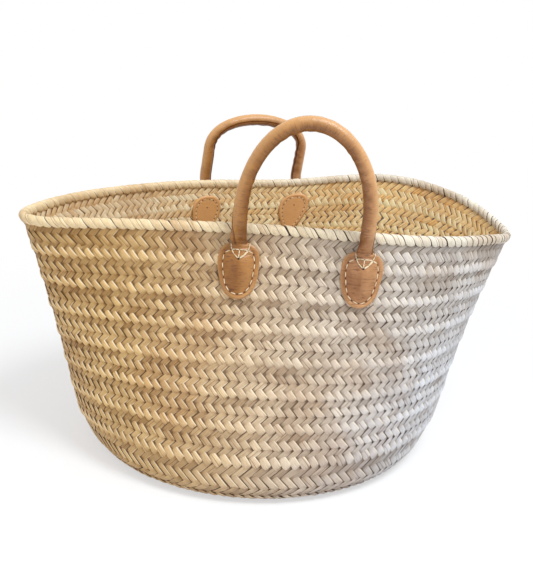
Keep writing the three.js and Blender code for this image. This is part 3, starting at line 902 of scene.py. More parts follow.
def lay_lining(strips, line):
    """A closed band in the middle of the plait's thickness."""
    top = 0.98 if line < LINES - 1 else 0.93
    levels = np.arange(LINING_LEVELS) / (LINING_LEVELS - 1) * top
    lines = line + np.concatenate([levels, levels[::-1]])[None, :]
    out = np.repeat([LINING_HALF, -LINING_HALF], LINING_LEVELS)[None, :]
    around = np.arange(LINING_STATIONS)[:, None] / LINING_STATIONS
    around, lines, out = np.broadcast_arrays(around, lines, out)
    places = on_plait(around, lines, out).reshape(1, -1, 3)
    faces = ring_faces(LINING_STATIONS, 2 * LINING_LEVELS)
    # The band is painted dark as the shade in the gaps: its UV lies in the dark line at a strip's edge, and
    # its tone is low.
    strips.add(places, faces, np.full((1, places.shape[1], 2), 0.94), np.array([0.25]), 0.0)


for line in range(LINES):
    strips = Strips()
    count = round((turn_length(line) + turn_length(line + 1)) / 2 / LEAF_PITCH)
    for row in TOP_ROWS if line == LINES - 1 else ROWS:
        lay_floats(strips, line, count, row, 1)
        lay_floats(strips, line, count, row, -1)
    lay_grains(strips, line, count, 1)
    lay_grains(strips, line, count, -1)
    lay_lining(strips, line)
    in_base = line < BASE_TURNS
    node = f"base_turn_{line + 1}" if in_base else f"wall_turn_{line + 1 - BASE_TURNS}"
    piece = strips.make("plait_" + node)
    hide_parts(node, f"seam_cord_{line + 1}")
    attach(piece, "basket")
    print(piece.name, count, "floats a row,", len(piece.data.polygons), "faces")
wrap_count = count

# %% [markdown]
# ## The coiled start
# The plait starts in the middle of the base, where its end is folded into a small disc. Here a lining and a
# ring of floats lie between the first seam and a button in the middle, on both faces of the base.

# %% The coiled start
CENTRE_FLOATS, DISC_STATIONS = 12, 48


def in_centre(around, reach, out):
    """A place inside the first seam: reach is the share of the way from the middle."""
    edge = look_up(table, around, np.zeros_like(around))
    return edge * np.stack([reach, reach, np.ones_like(reach)], -1) + out[..., None] * [0, 0, -1]


strips = Strips()
copies = np.arange(CENTRE_FLOATS)[:, None]
for side in (1, -1):
    along, across = FLOAT_PLACES[None, :, 0], FLOAT_PLACES[None, :, 1] * side
    reach = 0.60 + 0.40 * along + 0 * copies
    around = (copies + 0.55 * along - 0.5 * across) / CENTRE_FLOATS
    out = side * (1.3 + FLOAT_PLACES[None, :, 2] + 0.25 * FLOAT_PLACES[None, :, 1]) + 0 * copies
    strips.add(in_centre(around, reach, out), FLOAT_FACES, leaf_uv(FLOAT_PLACES, CENTRE_FLOATS, 1.4),
               leaf_tones(CENTRE_FLOATS), float(side < 0))
    button = GRAIN_PLACES[None] * [5.2, -5.2 * side, -1.5 * side] + [0, 0, FACE - side * 1.2]
    strips.add(button, GRAIN_FACES, leaf_uv(GRAIN_PLACES, 1, 1.2), leaf_tones(1), float(side < 0))
disc_round = np.repeat(np.arange(DISC_STATIONS) / DISC_STATIONS, 4)
disc_reach = np.tile([0.05, 0.97, 0.97, 0.05], DISC_STATIONS)
disc_out = np.tile([LINING_HALF, LINING_HALF, -LINING_HALF, -LINING_HALF], DISC_STATIONS)
disc = in_centre(disc_round, disc_reach, disc_out)[None]
# The disc is painted dark, as the shade between the floats.
strips.add(disc, ring_faces(DISC_STATIONS, 4), np.ones((1, disc.shape[1], 2)), np.array([0.05]), 0.0)
centre = strips.make("plait_centre")
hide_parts("base_centre")
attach(centre, "basket")
print("plait_centre:", len(centre.data.polygons), "faces")

# %% [markdown]
# ## The way over the rope
# A rope lies on the last turn's edge, and split leaf is wound round both. Every wrap follows the same path:
# up the outer face of the plait, over the rope and down the inner face. The path is a line of points in the
# rim's cross-section, and a share of its length gives any place on it.

# %% The way over the rope
# mm below the rim's top, and mm out from the plait's middle
ROPE_HIGH, ROPE_WIDE, ROPE_MIDDLE = 4.4, 3.7, -5.8
arc = np.radians(np.linspace(-30, 210, 25))
OVER_ROPE = np.concatenate([
    [[-12.6, 1.7], [-10.6, 2.8]],
    np.stack([ROPE_MIDDLE + ROPE_HIGH * np.sin(arc), ROPE_WIDE * np.cos(arc)], -1),
    [[-10.6, -2.8], [-12.6, -1.7]],
])
over_length = lengths_along(OVER_ROPE)
over_share = over_length / over_length[-1]


def over_rim(around, share, rise):
    """A place on the path over the rope, so many mm off it."""
    at = lambda s: np.stack([np.interp(s, over_share, OVER_ROPE[:, k]) for k in (0, 1)], -1)
    middle, step = at(share), at(share + 0.02) - at(share - 0.02)
    step /= np.linalg.norm(step, axis=-1, keepdims=True)
    height = middle[..., 0] - rise * step[..., 1]
    out = middle[..., 1] + rise * step[..., 0]
    top = np.full_like(around, LINES)
    rim, up = look_up(table, around, top), look_up(rising, around, top)
    return rim + up * height[..., None] + look_up(outward, around, top) * out[..., None]


print("path over the rope:", round(over_length[-1], 1), "mm")

# %% [markdown]
# ## The bound rim
# One wrap is modelled flat as a slab with a crowned face, whose ends narrow where they pass through the
# plait. It is copied for every float of the top turn and led over the rope at a slant, so that each wrap lies
# on the edge of the next. Under the wraps the rope is a plain closed ring, painted dark as the shade in the
# notches between wraps. The left wraps take more of the inside's gold than the right ones.

# %% The bound rim
WRAP_CROWN, WRAP_DIVE, WRAP_NARROWING = 0.65, 1.3, 0.75
WRAP_SLANT, WRAP_ROLL = 1.75, 0.28
GILT_LEFT, GILT_RIGHT = 0.50, 0.30
ROPE_STATIONS, ROPE_CORNERS = 192, 10

wrap = leaf_slab(np.linspace(-1, 1, 15).tolist(), CROSS_ROWS, 1.2)
for vertex in wrap.data.vertices:
    dive = max(0, (abs(vertex.co.x) - DIVE_START) / DIVE_LENGTH)
    vertex.co.z += WRAP_CROWN * (1 - abs(vertex.co.y) ** 3) - WRAP_DIVE * dive ** 2
    vertex.co.y *= 1 - WRAP_NARROWING * dive ** 1.6
WRAP_PLACES, WRAP_FACES = read_template(wrap)

x, y, z = (WRAP_PLACES[None, :, axis] for axis in range(3))
copies = np.arange(wrap_count)[:, None]
share = (x + 1) / 2 + 0 * copies
across = -y * 0.5 * (1.04 + scatter(0.05, wrap_count))
slanted = WRAP_SLANT * (share - 0.5) * (1 + scatter(0.06, wrap_count))
around = copies + 0.35 - slanted + across + scatter(0.04, wrap_count)
rise = 0.2 + z + scatter(0.10, wrap_count) + (WRAP_ROLL + scatter(0.12, wrap_count)) * y
wraps = over_rim(around / wrap_count, share, rise)
gilt = np.interp(wraps[:, :, 0].mean(1), [-150, 150], [GILT_LEFT, GILT_RIGHT])
strips = Strips()
strips.add(wraps, WRAP_FACES, leaf_uv(WRAP_PLACES, wrap_count, 4.0), leaf_tones(wrap_count, 0.94, 0.12), gilt)
rope_round = np.repeat(np.arange(ROPE_STATIONS) / ROPE_STATIONS, ROPE_CORNERS)
rope_share = np.tile(np.linspace(0.06, 0.94, ROPE_CORNERS), ROPE_STATIONS)
rope = over_rim(rope_round, rope_share, np.full_like(rope_round, -0.6))[None]
rope_faces = ring_faces(ROPE_STATIONS, ROPE_CORNERS)
# The rope is painted dark, as the shade in the notches between wraps.
strips.add(rope, rope_faces, np.ones((1, rope.shape[1], 2)), np.array([0.0]), 0.0)
rim = strips.make("rim_wraps", angle=60)
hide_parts("rim_binding", "rim_rope")
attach(rim, "basket")
print("rim_wraps:", wrap_count, "wraps,", len(rim.data.polygons), "faces")

# %% [markdown]
# ## Leather
# The handles and patches are natural tanned leather, waxed and worn: tan on the left and rosier on the right,
# darker where hands have burnished it and where shade is painted, with fine pores and creases. Two numbers in
# each mesh steer it: one darkens, for burnish and painted shade, and edge pales, for rubbed leather, the cut
# rim of a patch, painted highlights and painted light. The creases are noise on the piece's own UV map, so
# they run across a handle wherever it bends.

# %% Leather
leather, tree, shader = start_material("leather")
where = add_node(tree, "ShaderNodeTexCoord", (-1600, 0)).outputs["Object"]
skin = add_node(tree, "ShaderNodeUVMap", (-1600, 400), uv_map="leaf").outputs["UV"]
clouds = mapped(tree, noise(tree, where, 45.0, 4, 0.6, (-1400, 0)), 0.32, 0.68, place=(-1000, 0))
mottle = noise(tree, where, 260.0, 3, 0.6, (-1400, -150))
creases = noise(tree, stretched(tree, skin, (3.2, 0.35, 1), (-1400, 400)), 2.4, 3, 0.55, (-1200, 400))
tan = mixed(tree, clouds, srgb(134, 85, 28), srgb(165, 110, 45), place=(-900, 0))
rose = mixed(tree, clouds, srgb(152, 102, 62), srgb(186, 136, 94), place=(-900, 150))
to_right = mapped(tree, axes(tree, where, (-1400, 150))["X"], -0.04, 0.09, place=(-1100, 200))
colour = mixed(tree, to_right, tan, rose, place=(-750, 0))
mottle_share = mapped(tree, mottle, 0.4, 0.75, 0.0, 0.25, (-1000, -150))
colour = mixed(tree, mottle_share, colour, srgb(128, 76, 38), place=(-650, 0))
# Painted shade in the creases.
crease_shade_share = mapped(tree, creases, 0.5, 0.70, 0.0, 0.80, (-1000, 400))
colour = mixed(tree, crease_shade_share, colour, srgb(140, 84, 44), "MULTIPLY", (-500, 0))
# Burnish and painted shade darken the leather.
burnished = read_attribute(tree, "burnish", (-1600, 250))
colour = mixed(tree, burnished, colour, srgb(112, 64, 20), place=(-350, 0))
# Rubbed wear and the cut rim pale it, and so do painted highlights and painted light.
pale_share = read_attribute(tree, "edge", (-1600, 550))
colour = mixed(tree, pale_share, colour, srgb(222, 170, 114), place=(-200, 0))
print("leather has its colours,", len(tree.nodes), "nodes")

# %% [markdown]
# ## Pores and creases
# Two bumps lie one on the other. The fine one is Voronoi cells as small as the leather's pores, and the
# coarse one is the same crease noise that paints shade into the colour, so each crease has painted shade and
# is sunk.

# %% Pores and creases
pores = add_node(tree, "ShaderNodeTexVoronoi", (-1400, -350))
feed(tree, pores.inputs["Vector"], where)
pores.inputs["Scale"].default_value = 900.0
pore_depth = worked(tree, "ADD", pores.outputs["Distance"], mottle, place=(-800, -350))
fine = bumped(tree, pore_depth, 0.35, 0.0003, (-400, -350))
set_surface(tree, shader, colour, 0.37, bumped(tree, creases, 0.5, 0.0008, (-200, -350), fine))
shader.inputs["Specular IOR Level"].default_value = 0.5
print("material: leather,", len(tree.nodes), "nodes")

# %% [markdown]
# ## Stitch holes and waxed thread
# The patches are sewn with thick cream thread, twisted and waxed. A fine wave along each stitch gives the
# twist a shadow, and a little dust keeps the cream from looking painted. A stitch hole is the same leather
# in shadow: a dark brown that is never quite black.

# %% Stitch holes and waxed thread


def dusty(tree, vector, scale, dark, pale):
    """A colour that wanders between a dark one and a pale one."""
    dust = mapped(tree, noise(tree, vector, scale, 3, 0.6, (-800, 100)), 0.35, 0.7, place=(-600, 100))
    return mixed(tree, dust, srgb(*dark), srgb(*pale), place=(-400, 100))


stitch_hole, tree, shader = start_material("stitch_hole")
where = add_node(tree, "ShaderNodeTexCoord", (-1000, 0)).outputs["Object"]
set_surface(tree, shader, dusty(tree, where, 300.0, (58, 36, 20), (82, 52, 30)), 0.8)

waxed_thread, tree, shader = start_material("waxed_thread")
where = add_node(tree, "ShaderNodeTexCoord", (-1000, 0)).outputs["Object"]
twist = add_node(tree, "ShaderNodeTexWave", (-800, -200), bands_direction="DIAGONAL")
feed(tree, twist.inputs["Vector"], where)
twist.inputs["Scale"].default_value = 420.0
twist.inputs["Distortion"].default_value = 1.5
cream = dusty(tree, where, 220.0, (214, 194, 156), (240, 226, 194))
set_surface(tree, shader, cream, 0.5, bumped(tree, twist.outputs["Fac"], 0.5, 0.0002, (-300, -200)))
print("material: waxed_thread,", len(tree.nodes), "nodes")

# %% [markdown]
# ## The places of the patches
# Each handle end has a foot: a patch of leather on the wall just under the rim. Places on a foot are mm
# along the wall, mm up it and mm out from the plait's face, measured from the patch's middle.

# %% The places of the patches
PATCH_HALF_WIDTH, PATCH_HALF_HEIGHT, PATCH_TOP = 21.5, 29.0, 21.5
# Each foot's share of the way round the basket
FEET_AROUND = {"front_left": 0.7137, "front_right": 0.8050, "rear_right": 0.2375, "rear_left": 0.3312}
PROBE = 1e-3

FEET = {}
for name, around in FEET_AROUND.items():
    slant = np.linalg.norm(wall_point(around, 1) - wall_point(around, 0))
    up = 1 - (PATCH_TOP + PATCH_HALF_HEIGHT) / slant
    speed = np.linalg.norm(wall_point(around - PROBE, up) - wall_point(around + PROBE, up)) / (2 * PROBE)
    FEET[name] = (around, up, slant, speed)


def on_wall(name, along, upward, out):
    around, up, slant, speed = FEET[name]
    around, up = around + along / speed, up + upward / slant
    sideways = wall_point(around + PROBE, up) - wall_point(around - PROBE, up)
    climbing = wall_point(around, up + PROBE) - wall_point(around, up - PROBE)
    normal = np.cross(sideways, climbing)
    normal /= np.linalg.norm(normal, axis=-1, keepdims=True)
    return wall_point(around, up) + normal * (FACE + np.asarray(out, float))[..., None]


print("feet:", {name: [round(float(value), 3) for value in foot] for name, foot in FEET.items()})

# %% [markdown]
# ## The outline of a patch
# A patch is cut like a shield with round corners, and it is moulded over the handle's root, so its middle
# stands up as a dome. Each table runs from the top down: a height and a half width, or a height and the
# dome's rise, as shares of the patch's own size. The patch on the inside of the wall is rounder and flat.

# %% The outline of a patch
OUTLINE = np.array([
    [1.0, 0.45], [0.97, 0.56], [0.933, 0.65], [0.875, 0.745], [0.78, 0.865], [0.684, 0.935], [0.49, 0.985],
    [0.30, 1.0], [0.10, 0.985], [-0.08, 0.95], [-0.275, 0.91], [-0.467, 0.85], [-0.659, 0.74],
    [-0.85, 0.54], [-0.946, 0.35], [-1.0, 0.10],
])
INNER_OUTLINE = np.array([
    [1.0, 0.14], [0.985, 0.30], [0.95, 0.47], [0.88, 0.65], [0.78, 0.80], [0.64, 0.92], [0.47, 0.985],
    [0.30, 1.0], [0.10, 0.97], [-0.10, 0.90], [-0.30, 0.79], [-0.48, 0.67], [-0.66, 0.52], [-0.83, 0.36],
    [-0.95, 0.20], [-1.0, 0.06],
])
DOME = np.array([
    [1.0, 0.32], [0.85, 0.42], [0.6, 0.72], [0.35, 0.97], [0.2, 1.0], [0.0, 0.93], [-0.28, 0.68],
    [-0.5, 0.38], [-0.7, 0.12], [-0.85, 0.0], [-1.0, 0.0],
])
DOME_HEIGHT, DOME_INSET = 5.6, 4.6
SEW_INSET, GROOVE, GROOVE_WIDTH = 5.1, 0.45, 1.1
PUFF, PUFF_INSET, PUFF_WIDTH = 0.35, 2.4, 1.6
# How far a patch lies off the plait's outer face
PATCH_LIFT, INNER_LIFT = 2.6, -2 * FACE - 2.0
print("patch:", 2 * PATCH_HALF_WIDTH, "x", 2 * PATCH_HALF_HEIGHT, "mm")

# %% [markdown]
# ## Reading the outline
# Two things are asked for every place on a patch: how far it is from the cut edge, which decides where the
# groove, the stitches and the rubbed leather lie, and how high the dome stands there.

# %% Reading the outline


def hump(value, middle, width):
    """A smooth hump of height 1 round a middle."""
    return np.exp(-((value - middle) / width) ** 2)


def read_rows(rows, height):
    """Reads a table that runs from the top down."""
    return np.interp(height, rows[::-1, 0], rows[::-1, 1])


def border_gap(points, outline):
    """How far each place is from the patch's outline."""
    border = np.concatenate([outline * [1, -1], outline[::-1]])[:, ::-1]
    start = border * [PATCH_HALF_WIDTH, PATCH_HALF_HEIGHT]
    step = np.roll(start, -1, axis=0) - start
    share = ((points[:, None] - start) * step).sum(-1) / (step ** 2).sum(-1)
    nearest = start + np.clip(share, 0, 1)[..., None] * step
    return np.linalg.norm(points[:, None] - nearest, axis=-1).min(1)


def dome_rise(along, upward, height):
    row = upward / PATCH_HALF_HEIGHT
    reach = read_rows(OUTLINE, row) * PATCH_HALF_WIDTH - DOME_INSET
    share = np.clip(np.abs(along) / np.maximum(reach, 3.0), 0, 1)
    return height * read_rows(DOME, row) * np.cos(share * np.pi / 2) ** 1.3


print("the dome stands", round(float(dome_rise(0.0, 0.0, DOME_HEIGHT)), 2), "mm high in the middle")

# %% [markdown]
# ## Two patches laid flat
# A patch starts as a grid that is extruded for its thickness. Each row is drawn in to the outline's width,
# the middle is raised, and a shallow groove is pressed along the sewing line. Between groove and edge the
# leather puffs up a little, and at the edge it rounds off.

# %% Two patches laid flat
EDGE_SPREAD = math.pi / 2 * 0.92  # crowds the grid's columns towards the edge


def patch_template(height, groove, outline):
    """The patch's places along, up and out, its faces, and how near each place is to the cut edge."""
    slab = grid_slab(40, 56, 1)
    outward_normals(slab)
    places, faces = read_template(slab)
    row = np.sin(places[:, 1] * np.pi / 2)
    along = np.sin(places[:, 0] * EDGE_SPREAD) / math.sin(EDGE_SPREAD)
    flat = np.stack([along * read_rows(outline, row) * PATCH_HALF_WIDTH, row * PATCH_HALF_HEIGHT], -1)
    gap = border_gap(flat, outline)
    top = places[:, 2] > -0.5
    out = dome_rise(flat[:, 0], flat[:, 1], height) - groove * hump(gap, SEW_INSET, GROOVE_WIDTH)
    rounding = -0.9 * np.exp(-gap / 0.7)
    out = np.where(top, out + PUFF * hump(gap, PUFF_INSET, PUFF_WIDTH) + rounding, out * 0.97 - 2.0)
    edge = np.where(top, np.exp(-gap / 1.0), 1.0)
    return np.column_stack([flat, out]), faces, edge, gap


outer_patch = patch_template(DOME_HEIGHT, GROOVE, OUTLINE)
inner_patch = patch_template(0.0, 0.3, INNER_OUTLINE)
print("patch:", len(outer_patch[0]), "places,", len(outer_patch[1]), "faces")

# %% [markdown]
# ## Wear on a patch
# Worn leather is creased, burnished and rubbed. A few creases run in from the two sides of each patch, at
# places of their own. The outer patch is burnished on its dome and darker on its left half, painted shade
# darkens the groove and the creases, a painted highlight pales its right side, and its bottom border is
# rubbed pale.

# %% Wear on a patch
CREASES = 7


def side_creases(shape):
    """How deep each place lies in a few creases that run in from the sides."""
    crease = np.zeros(len(shape))
    for _ in range(CREASES):
        side, start, height = rng.choice([-1, 1]), rng.uniform(7, 17), rng.uniform(-20, 18)
        line = shape[:, 1] - height - rng.uniform(-0.25, 0.25) * shape[:, 0]
        near = hump(side * shape[:, 0], start, rng.uniform(3, 6))
        crease += rng.uniform(0.25, 0.6) * hump(line, 0, 0.9) * near
    return crease


def outer_wear(shape, crease, edge, gap):
    """The outer patch's burnish with painted shade, and its pale edge with a painted highlight."""
    along, up = shape[:, 0], shape[:, 1]
    rubbed = np.exp(-((along + 2.0 + up / 14) / 6.5) ** 2 - (up / 14) ** 2)
    # Burnish on the dome, painted shade in the groove and in the creases.
    burnish = 0.13 + 0.34 * rubbed + 0.26 * hump(gap, SEW_INSET, 1.0) + 0.28 * crease
    # Darker on the left half.
    burnish += 0.20 * (along < 0) * hump(up, -4, 12)
    # A painted highlight on the right side.
    pale = 0.30 / (1 + np.exp(-(along - 3.0) / 1.6))
    pale += 0.55 * np.exp(-(gap / 4.0) ** 4) / (1 + np.exp((up + 12) / 3))
    return burnish, np.maximum(edge, np.where(shape[:, 2] > 0, pale, edge))


print("helpers: side_creases, outer_wear")

# %% [markdown]
# ## Eight patches on the wall
# Each foot gets a patch outside and one inside. Every border wavers a little, because it was cut by hand.
# Outside, the creases are also dents in the leather. The inner patch is a little smaller and lies turned
# over, so its faces are turned round too.

# %% Eight patches on the wall
INNER_SIZE = [0.98, 0.97]

for number, (name, kind) in enumerate((name, kind) for name in FEET for kind in ("patch", "inner_patch")):
    outside = kind == "patch"
    shape, faces, edge, gap = outer_patch if outside else inner_patch
    wobble = 0.25 * np.sin(shape[:, 1] / 5 + rng.uniform(0, 6)) * np.exp(-gap / 4)
    crease = side_creases(shape)
    if outside:
        dent = crease * (shape[:, 2] > -0.5)
        places = on_wall(name, shape[:, 0] + wobble, shape[:, 1], shape[:, 2] + PATCH_LIFT - dent)
        burnish, edge = outer_wear(shape, crease, edge, gap)
    else:
        along, up = shape[:, 0] * INNER_SIZE[0] + wobble, shape[:, 1] * INNER_SIZE[1]
        places = on_wall(name, along, up, INNER_LIFT - shape[:, 2])
        faces = [face[::-1] for face in faces]
        # Inside: painted shade in the sewing groove, and the whole patch painted pale, as painted light.
        burnish, edge = 0.25 * hump(gap, SEW_INSET, 0.8), np.maximum(edge, 1.2)
    uv = np.column_stack([shape[:, 1] / 13 + 3 * number, shape[:, 0] / 8])
    piece = make_object(f"{name}_{kind}_leather", places, faces, leather, 40, uv,
                        burnish=burnish, edge=0.6 * edge)
    if outside:
        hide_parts(f"{name}_backing", f"{name}_cover", f"{name}_root")
    else:
        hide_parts(f"{name}_inner_patch")
    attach(piece, "basket")
print("patches:", number + 1, "with", len(faces), "faces each")

# %% [markdown]
# ## How a handle hinges
# A handle folds down about its two necks, just above the patches. The necks don't stand level on the
# squeezed mouth, so each handle is worked out in directions of its own: from neck to neck, inward over the
# basket, and up. Its hinge is the line through the necks, the same one that the solid handle turns about.

# %% How a handle hinges
PIVOT_UP, PIVOT_OUT = PATCH_HALF_HEIGHT + 6.8, 7.0


def handle_frame(first, last, lean):
    """The middle between the necks, the directions from neck to neck, inward and up, and half the span."""
    ends = [on_wall(name, np.array(0.0), PIVOT_UP, PIVOT_OUT) for name in (first, last)]
    span = np.linalg.norm(ends[1] - ends[0])
    axis = (ends[1] - ends[0]) / span
    level = np.array([-axis[1], axis[0], 0]) / math.hypot(axis[0], axis[1])
    upright = np.cross(axis, level)
    inward = level * math.cos(lean) + upright * math.sin(lean)
    return (ends[0] + ends[1]) / 2, axis, inward, np.cross(axis, inward), span / 2


for first, last in (("front_left", "front_right"), ("rear_right", "rear_left")):
    print("hinge from", first, "to", last, round(2 * handle_frame(first, last, 0)[-1], 1), "mm")

# %% [markdown]
# ## The line of a handle
# A handle stands up from one patch, runs over its crown and comes down to the other. It bends at its necks
# when it folds, so there it is pressed flat, with two soft dents. One neck is listed from the patch up.
# Above it the handle is round, and the arch is half an oval whose shoulders may be full or slim. A small
# pull moves the crown to one side, because a worn handle doesn't stand quite straight.

# %% The line of a handle
HANDLE_RADIUS, STAND_OFF = 7.25, 6.95
LEG_START, LEG_STEP, ARCH_STEPS = 25, 3.0, 60
# Each row: mm up, mm out from the hinge, half width and half depth
NECK = np.array([
    (-13.2, -2.6, 7.2, 2.2), (-12.6, -2.4, 8.0, 2.9), (-11.8, -2.2, 8.2, 3.2), (-11.0, -2.1, 8.1, 3.1),
    (-10.4, -2.0, 7.8, 2.7), (-9.8, -1.9, 8.1, 3.1), (-9.0, -1.8, 8.2, 3.3), (-8.2, -1.7, 8.1, 3.2),
    (-7.6, -1.6, 7.8, 2.8), (-7.0, -1.5, 8.1, 3.2), (-6.0, -1.3, 8.2, 3.4), (-5.0, -1.1, 8.1, 3.3),
    (-4.2, -0.9, 7.5, 3.0), (-3.4, -0.6, 7.4, 3.5), (-1.5, 0.1, 7.3, 3.9), (0.5, 0.7, 7.1, 4.1),
    (3, 1.4, 7.05, 4.4), (6, 2.6, 7.1, 5.0), (9.5, 4.3, 7.15, 5.9), (13, 6.0, 7.2, 6.8),
    (17, 6.85, 7.25, 7.2), (22, 6.95, 7.25, 7.25),
])


def handle_line(half_span, top, leg_top, wall_lean, pull, crown):
    """Rows along a handle: across, up, how far out, half width, half depth, and the line's tilt."""
    left, arch = [], []
    for height in np.concatenate([NECK[:, 0], np.arange(LEG_START, leg_top, LEG_STEP)]):
        out, half_width, half_depth = (np.interp(height, NECK[:, 0], NECK[:, k]) for k in (1, 2, 3))
        left.append((-half_span, height, out + wall_lean * min(0, height), half_width, half_depth, math.pi))
    rise = top - leg_top
    for step in range(ARCH_STEPS + 1):
        angle = math.pi * (1 - step / ARCH_STEPS)
        sine = max(math.sin(angle), 1e-6)
        slope = rise * crown * sine ** (crown - 1) * math.cos(angle)
        arch.append((half_span * math.cos(angle), leg_top + rise * sine ** crown, STAND_OFF,
                     HANDLE_RADIUS, HANDLE_RADIUS, math.atan2(half_span * sine, slope)))
    right = [(-row[0], *row[1:5], 0.0) for row in reversed(left)]
    line = np.array(left + arch + right)
    line[:, 0] += pull * np.sin(np.pi * np.clip(line[:, 1] - 10, 0, top) / (1.3 * top)) ** 1.5
    return line


print("neck:", len(NECK), "rows, handle", 2 * HANDLE_RADIUS, "mm thick")

# %% [markdown]
# ## A straight tube
# The maker sews the sleeve straight and then bends it. Here too the handle starts as a straight cylinder.
# It is bisected once for each row of the line, which gives it a ring of points there to bend at.

# %% A straight tube
SKIN_SIDES = 28


def straight_tube(rings):
    """The places and faces of a closed tube from -1 to 1, with so many rings of points."""
    deselect()
    bpy.ops.mesh.primitive_cylinder_add(vertices=SKIN_SIDES, radius=1, depth=2, end_fill_type="NGON")
    tube = bpy.context.object
    bpy.ops.object.mode_set(mode="EDIT")
    for cut in range(1, rings - 1):
        height = -1 + 2 * cut / (rings - 1)
        bpy.ops.mesh.select_all(action="SELECT")
        bpy.ops.mesh.bisect(plane_co=(0, 0, height), plane_no=(0, 0, 1))
    bpy.ops.object.mode_set(mode="OBJECT")
    outward_normals(tube)
    return read_template(tube)


print("helper: straight_tube")

# %% [markdown]
# ## The seam of the sleeve
# The sleeve is a sheet of leather rolled round a rope core, and it overlaps along one side. The overlap is
# a step along the handle with a groove beside it, and low down its edge stands off as a loose flange. The
# seam lies at one angle over the crown and turns to another at each patch. Angles round the handle are 0
# on the outside of the arch.

# %% The seam of the sleeve


def seam_step(from_seam, height):
    """How far the overlap and the flange lift the skin and the groove sinks it, in mm."""
    lap = 0.95 * np.exp(-np.maximum(0, -from_seam) / 0.55) * (from_seam <= 0.02)
    groove = 0.75 * hump(from_seam, 0.10, 0.09)
    loose = np.clip(1 - (height + 4) / 17, 0, 1) ** 1.3 * (height > -4.5)
    return lap - groove + 2.4 * hump(from_seam, -0.85, 0.5) * loose


def angle_round(from_seam, across, height, seams, seam_turn):
    """The angle round the handle of places at an angle from the seam."""
    first_seam, top_seam, last_seam = seams
    turn_from, turn_reach = seam_turn
    turned_share = np.clip(1 - (height - turn_from) / turn_reach, 0, 1) ** 1.3
    low_seam = np.where(across < 0, first_seam, last_seam)
    return from_seam + top_seam + (low_seam - top_seam) * turned_share


print("helpers: seam_step, angle_round")

# %% [markdown]
# ## Wrinkles, wear and painted light
# The leather is squeezed on the inside of the arch, so it wrinkles most there, and dirt and wax stay in the
# folds. Painted shade darkens the inside of the arch and the seam's groove, and a painted highlight pales the
# outside of the arch, less low down. Each is a number at each place: the wrinkles move the skin, and the
# darkening and the painted highlight go into the mesh for the finish to read.

# %% Wrinkles, wear and painted light


def wrinkled(length, angle, inside):
    """Wrinkles across the handle, in mm. inside is 1 on the inside of the arch."""
    wave = 0.36 * np.sin(length / 1.9 + 1.4 * np.sin(length / 9) + 1.2 * np.sin(angle * 2 + length / 17))
    return wave * (0.35 + 0.9 * inside) * (0.5 + 0.5 * np.sin(length / 13 + angle))


def handle_wear(from_seam, inside, wrinkle, height, lit_share):
    """The handle's painted shade, with dirt in the folds, and its painted highlight."""
    near_seam = hump(from_seam, 0.10, 0.13)
    folds = np.clip(-2.2 * wrinkle, 0, 0.35)
    low = np.clip(1 - (height + 8) / 46, 0, 1)
    # Painted shade in the seam's groove and inside the arch, and dirt in the folds.
    burnish = np.clip(near_seam + (1.35 - lit_share) * inside ** 1.6 + folds, 0, 1)
    # A painted highlight on the outside of the arch, less low down.
    return burnish, lit_share * (1 - 0.70 * low) * (1 - inside) ** 2.2 * (1 - near_seam)


print("helpers: wrinkled, handle_wear")

# %% [markdown]
# ## The skin of a handle
# The straight tube is led along the handle's line. Each ring goes to its row, and each of its points goes
# out to the half width and half depth there, plus what the seam and the wrinkles add. The points round a
# ring are crowded towards the seam, where the shape is finest.

# %% The skin of a handle
CROWDING = 0.72
BLEND_START, BLEND_END = -5.0, 9.0  # mm up from the hinge, where the two places given back with the skin lie


def handle_skin(name, first, last, *, lean, top, leg_top, wall_lean, pull, crown, seams, seam_turn, lit_share):
    """The skin of a handle, and two places BLEND_START and BLEND_END mm up from the middle of its hinge."""
    middle, axis, inward, up, half_span = handle_frame(first, last, math.radians(lean))
    rows = handle_line(half_span, top, leg_top, wall_lean, pull, crown)
    tube, faces = straight_tube(len(rows))
    row = np.clip(np.round((tube[:, 2] + 1) / 2 * (len(rows) - 1)).astype(int), 0, len(rows) - 1)
    across, height, out, half_width, half_depth, tilt = rows[row].T
    length = lengths_along(rows[:, :2])[row]
    turned = np.arctan2(tube[:, 1], tube[:, 0])
    from_seam = turned - CROWDING * np.sin(turned)
    angle = angle_round(from_seam, across, height, seams, seam_turn)
    inside = (1 - np.cos(angle)) / 2
    wrinkle = wrinkled(length, angle, inside)
    burnish, pale = handle_wear(from_seam, inside, wrinkle, height, lit_share)

    swell = 0.22 * np.sin(length / 21 + 1.0) + seam_step(from_seam, height) + wrinkle
    width = (half_width + swell) * np.cos(angle)
    out = out + (half_depth + swell) * np.sin(angle)
    across, height = across + width * np.cos(tilt), height + width * np.sin(tilt)
    places = middle + across[:, None] * axis - out[:, None] * inward + height[:, None] * up
    uv = np.column_stack([length / 10, angle])
    skin = make_object(name, places, faces, leather, 60, uv, burnish=burnish, edge=pale)
    start, end = middle + BLEND_START * up, middle + BLEND_END * up
    return skin, (start * MM).tolist(), (end * MM).tolist()


print("helper: handle_skin")

# %% [markdown]
# ## Two handles
# The front handle stands upright. The rear one leans in over the basket, its crown has been pulled to one
# side, and its seam faces the inside. Each skin is one mesh.

# %% Two handles
front_skin, start, end = handle_skin(
    "front_handle_leather", "front_left", "front_right", lean=0, top=117.5, leg_top=28.0, wall_lean=0.25,
    pull=1.0, crown=1.0, seams=(0.95, -0.45, 0.30), seam_turn=(-8, 46), lit_share=0.80)
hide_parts("front_handle_sleeve", "front_handle_rope")
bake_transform(front_skin)

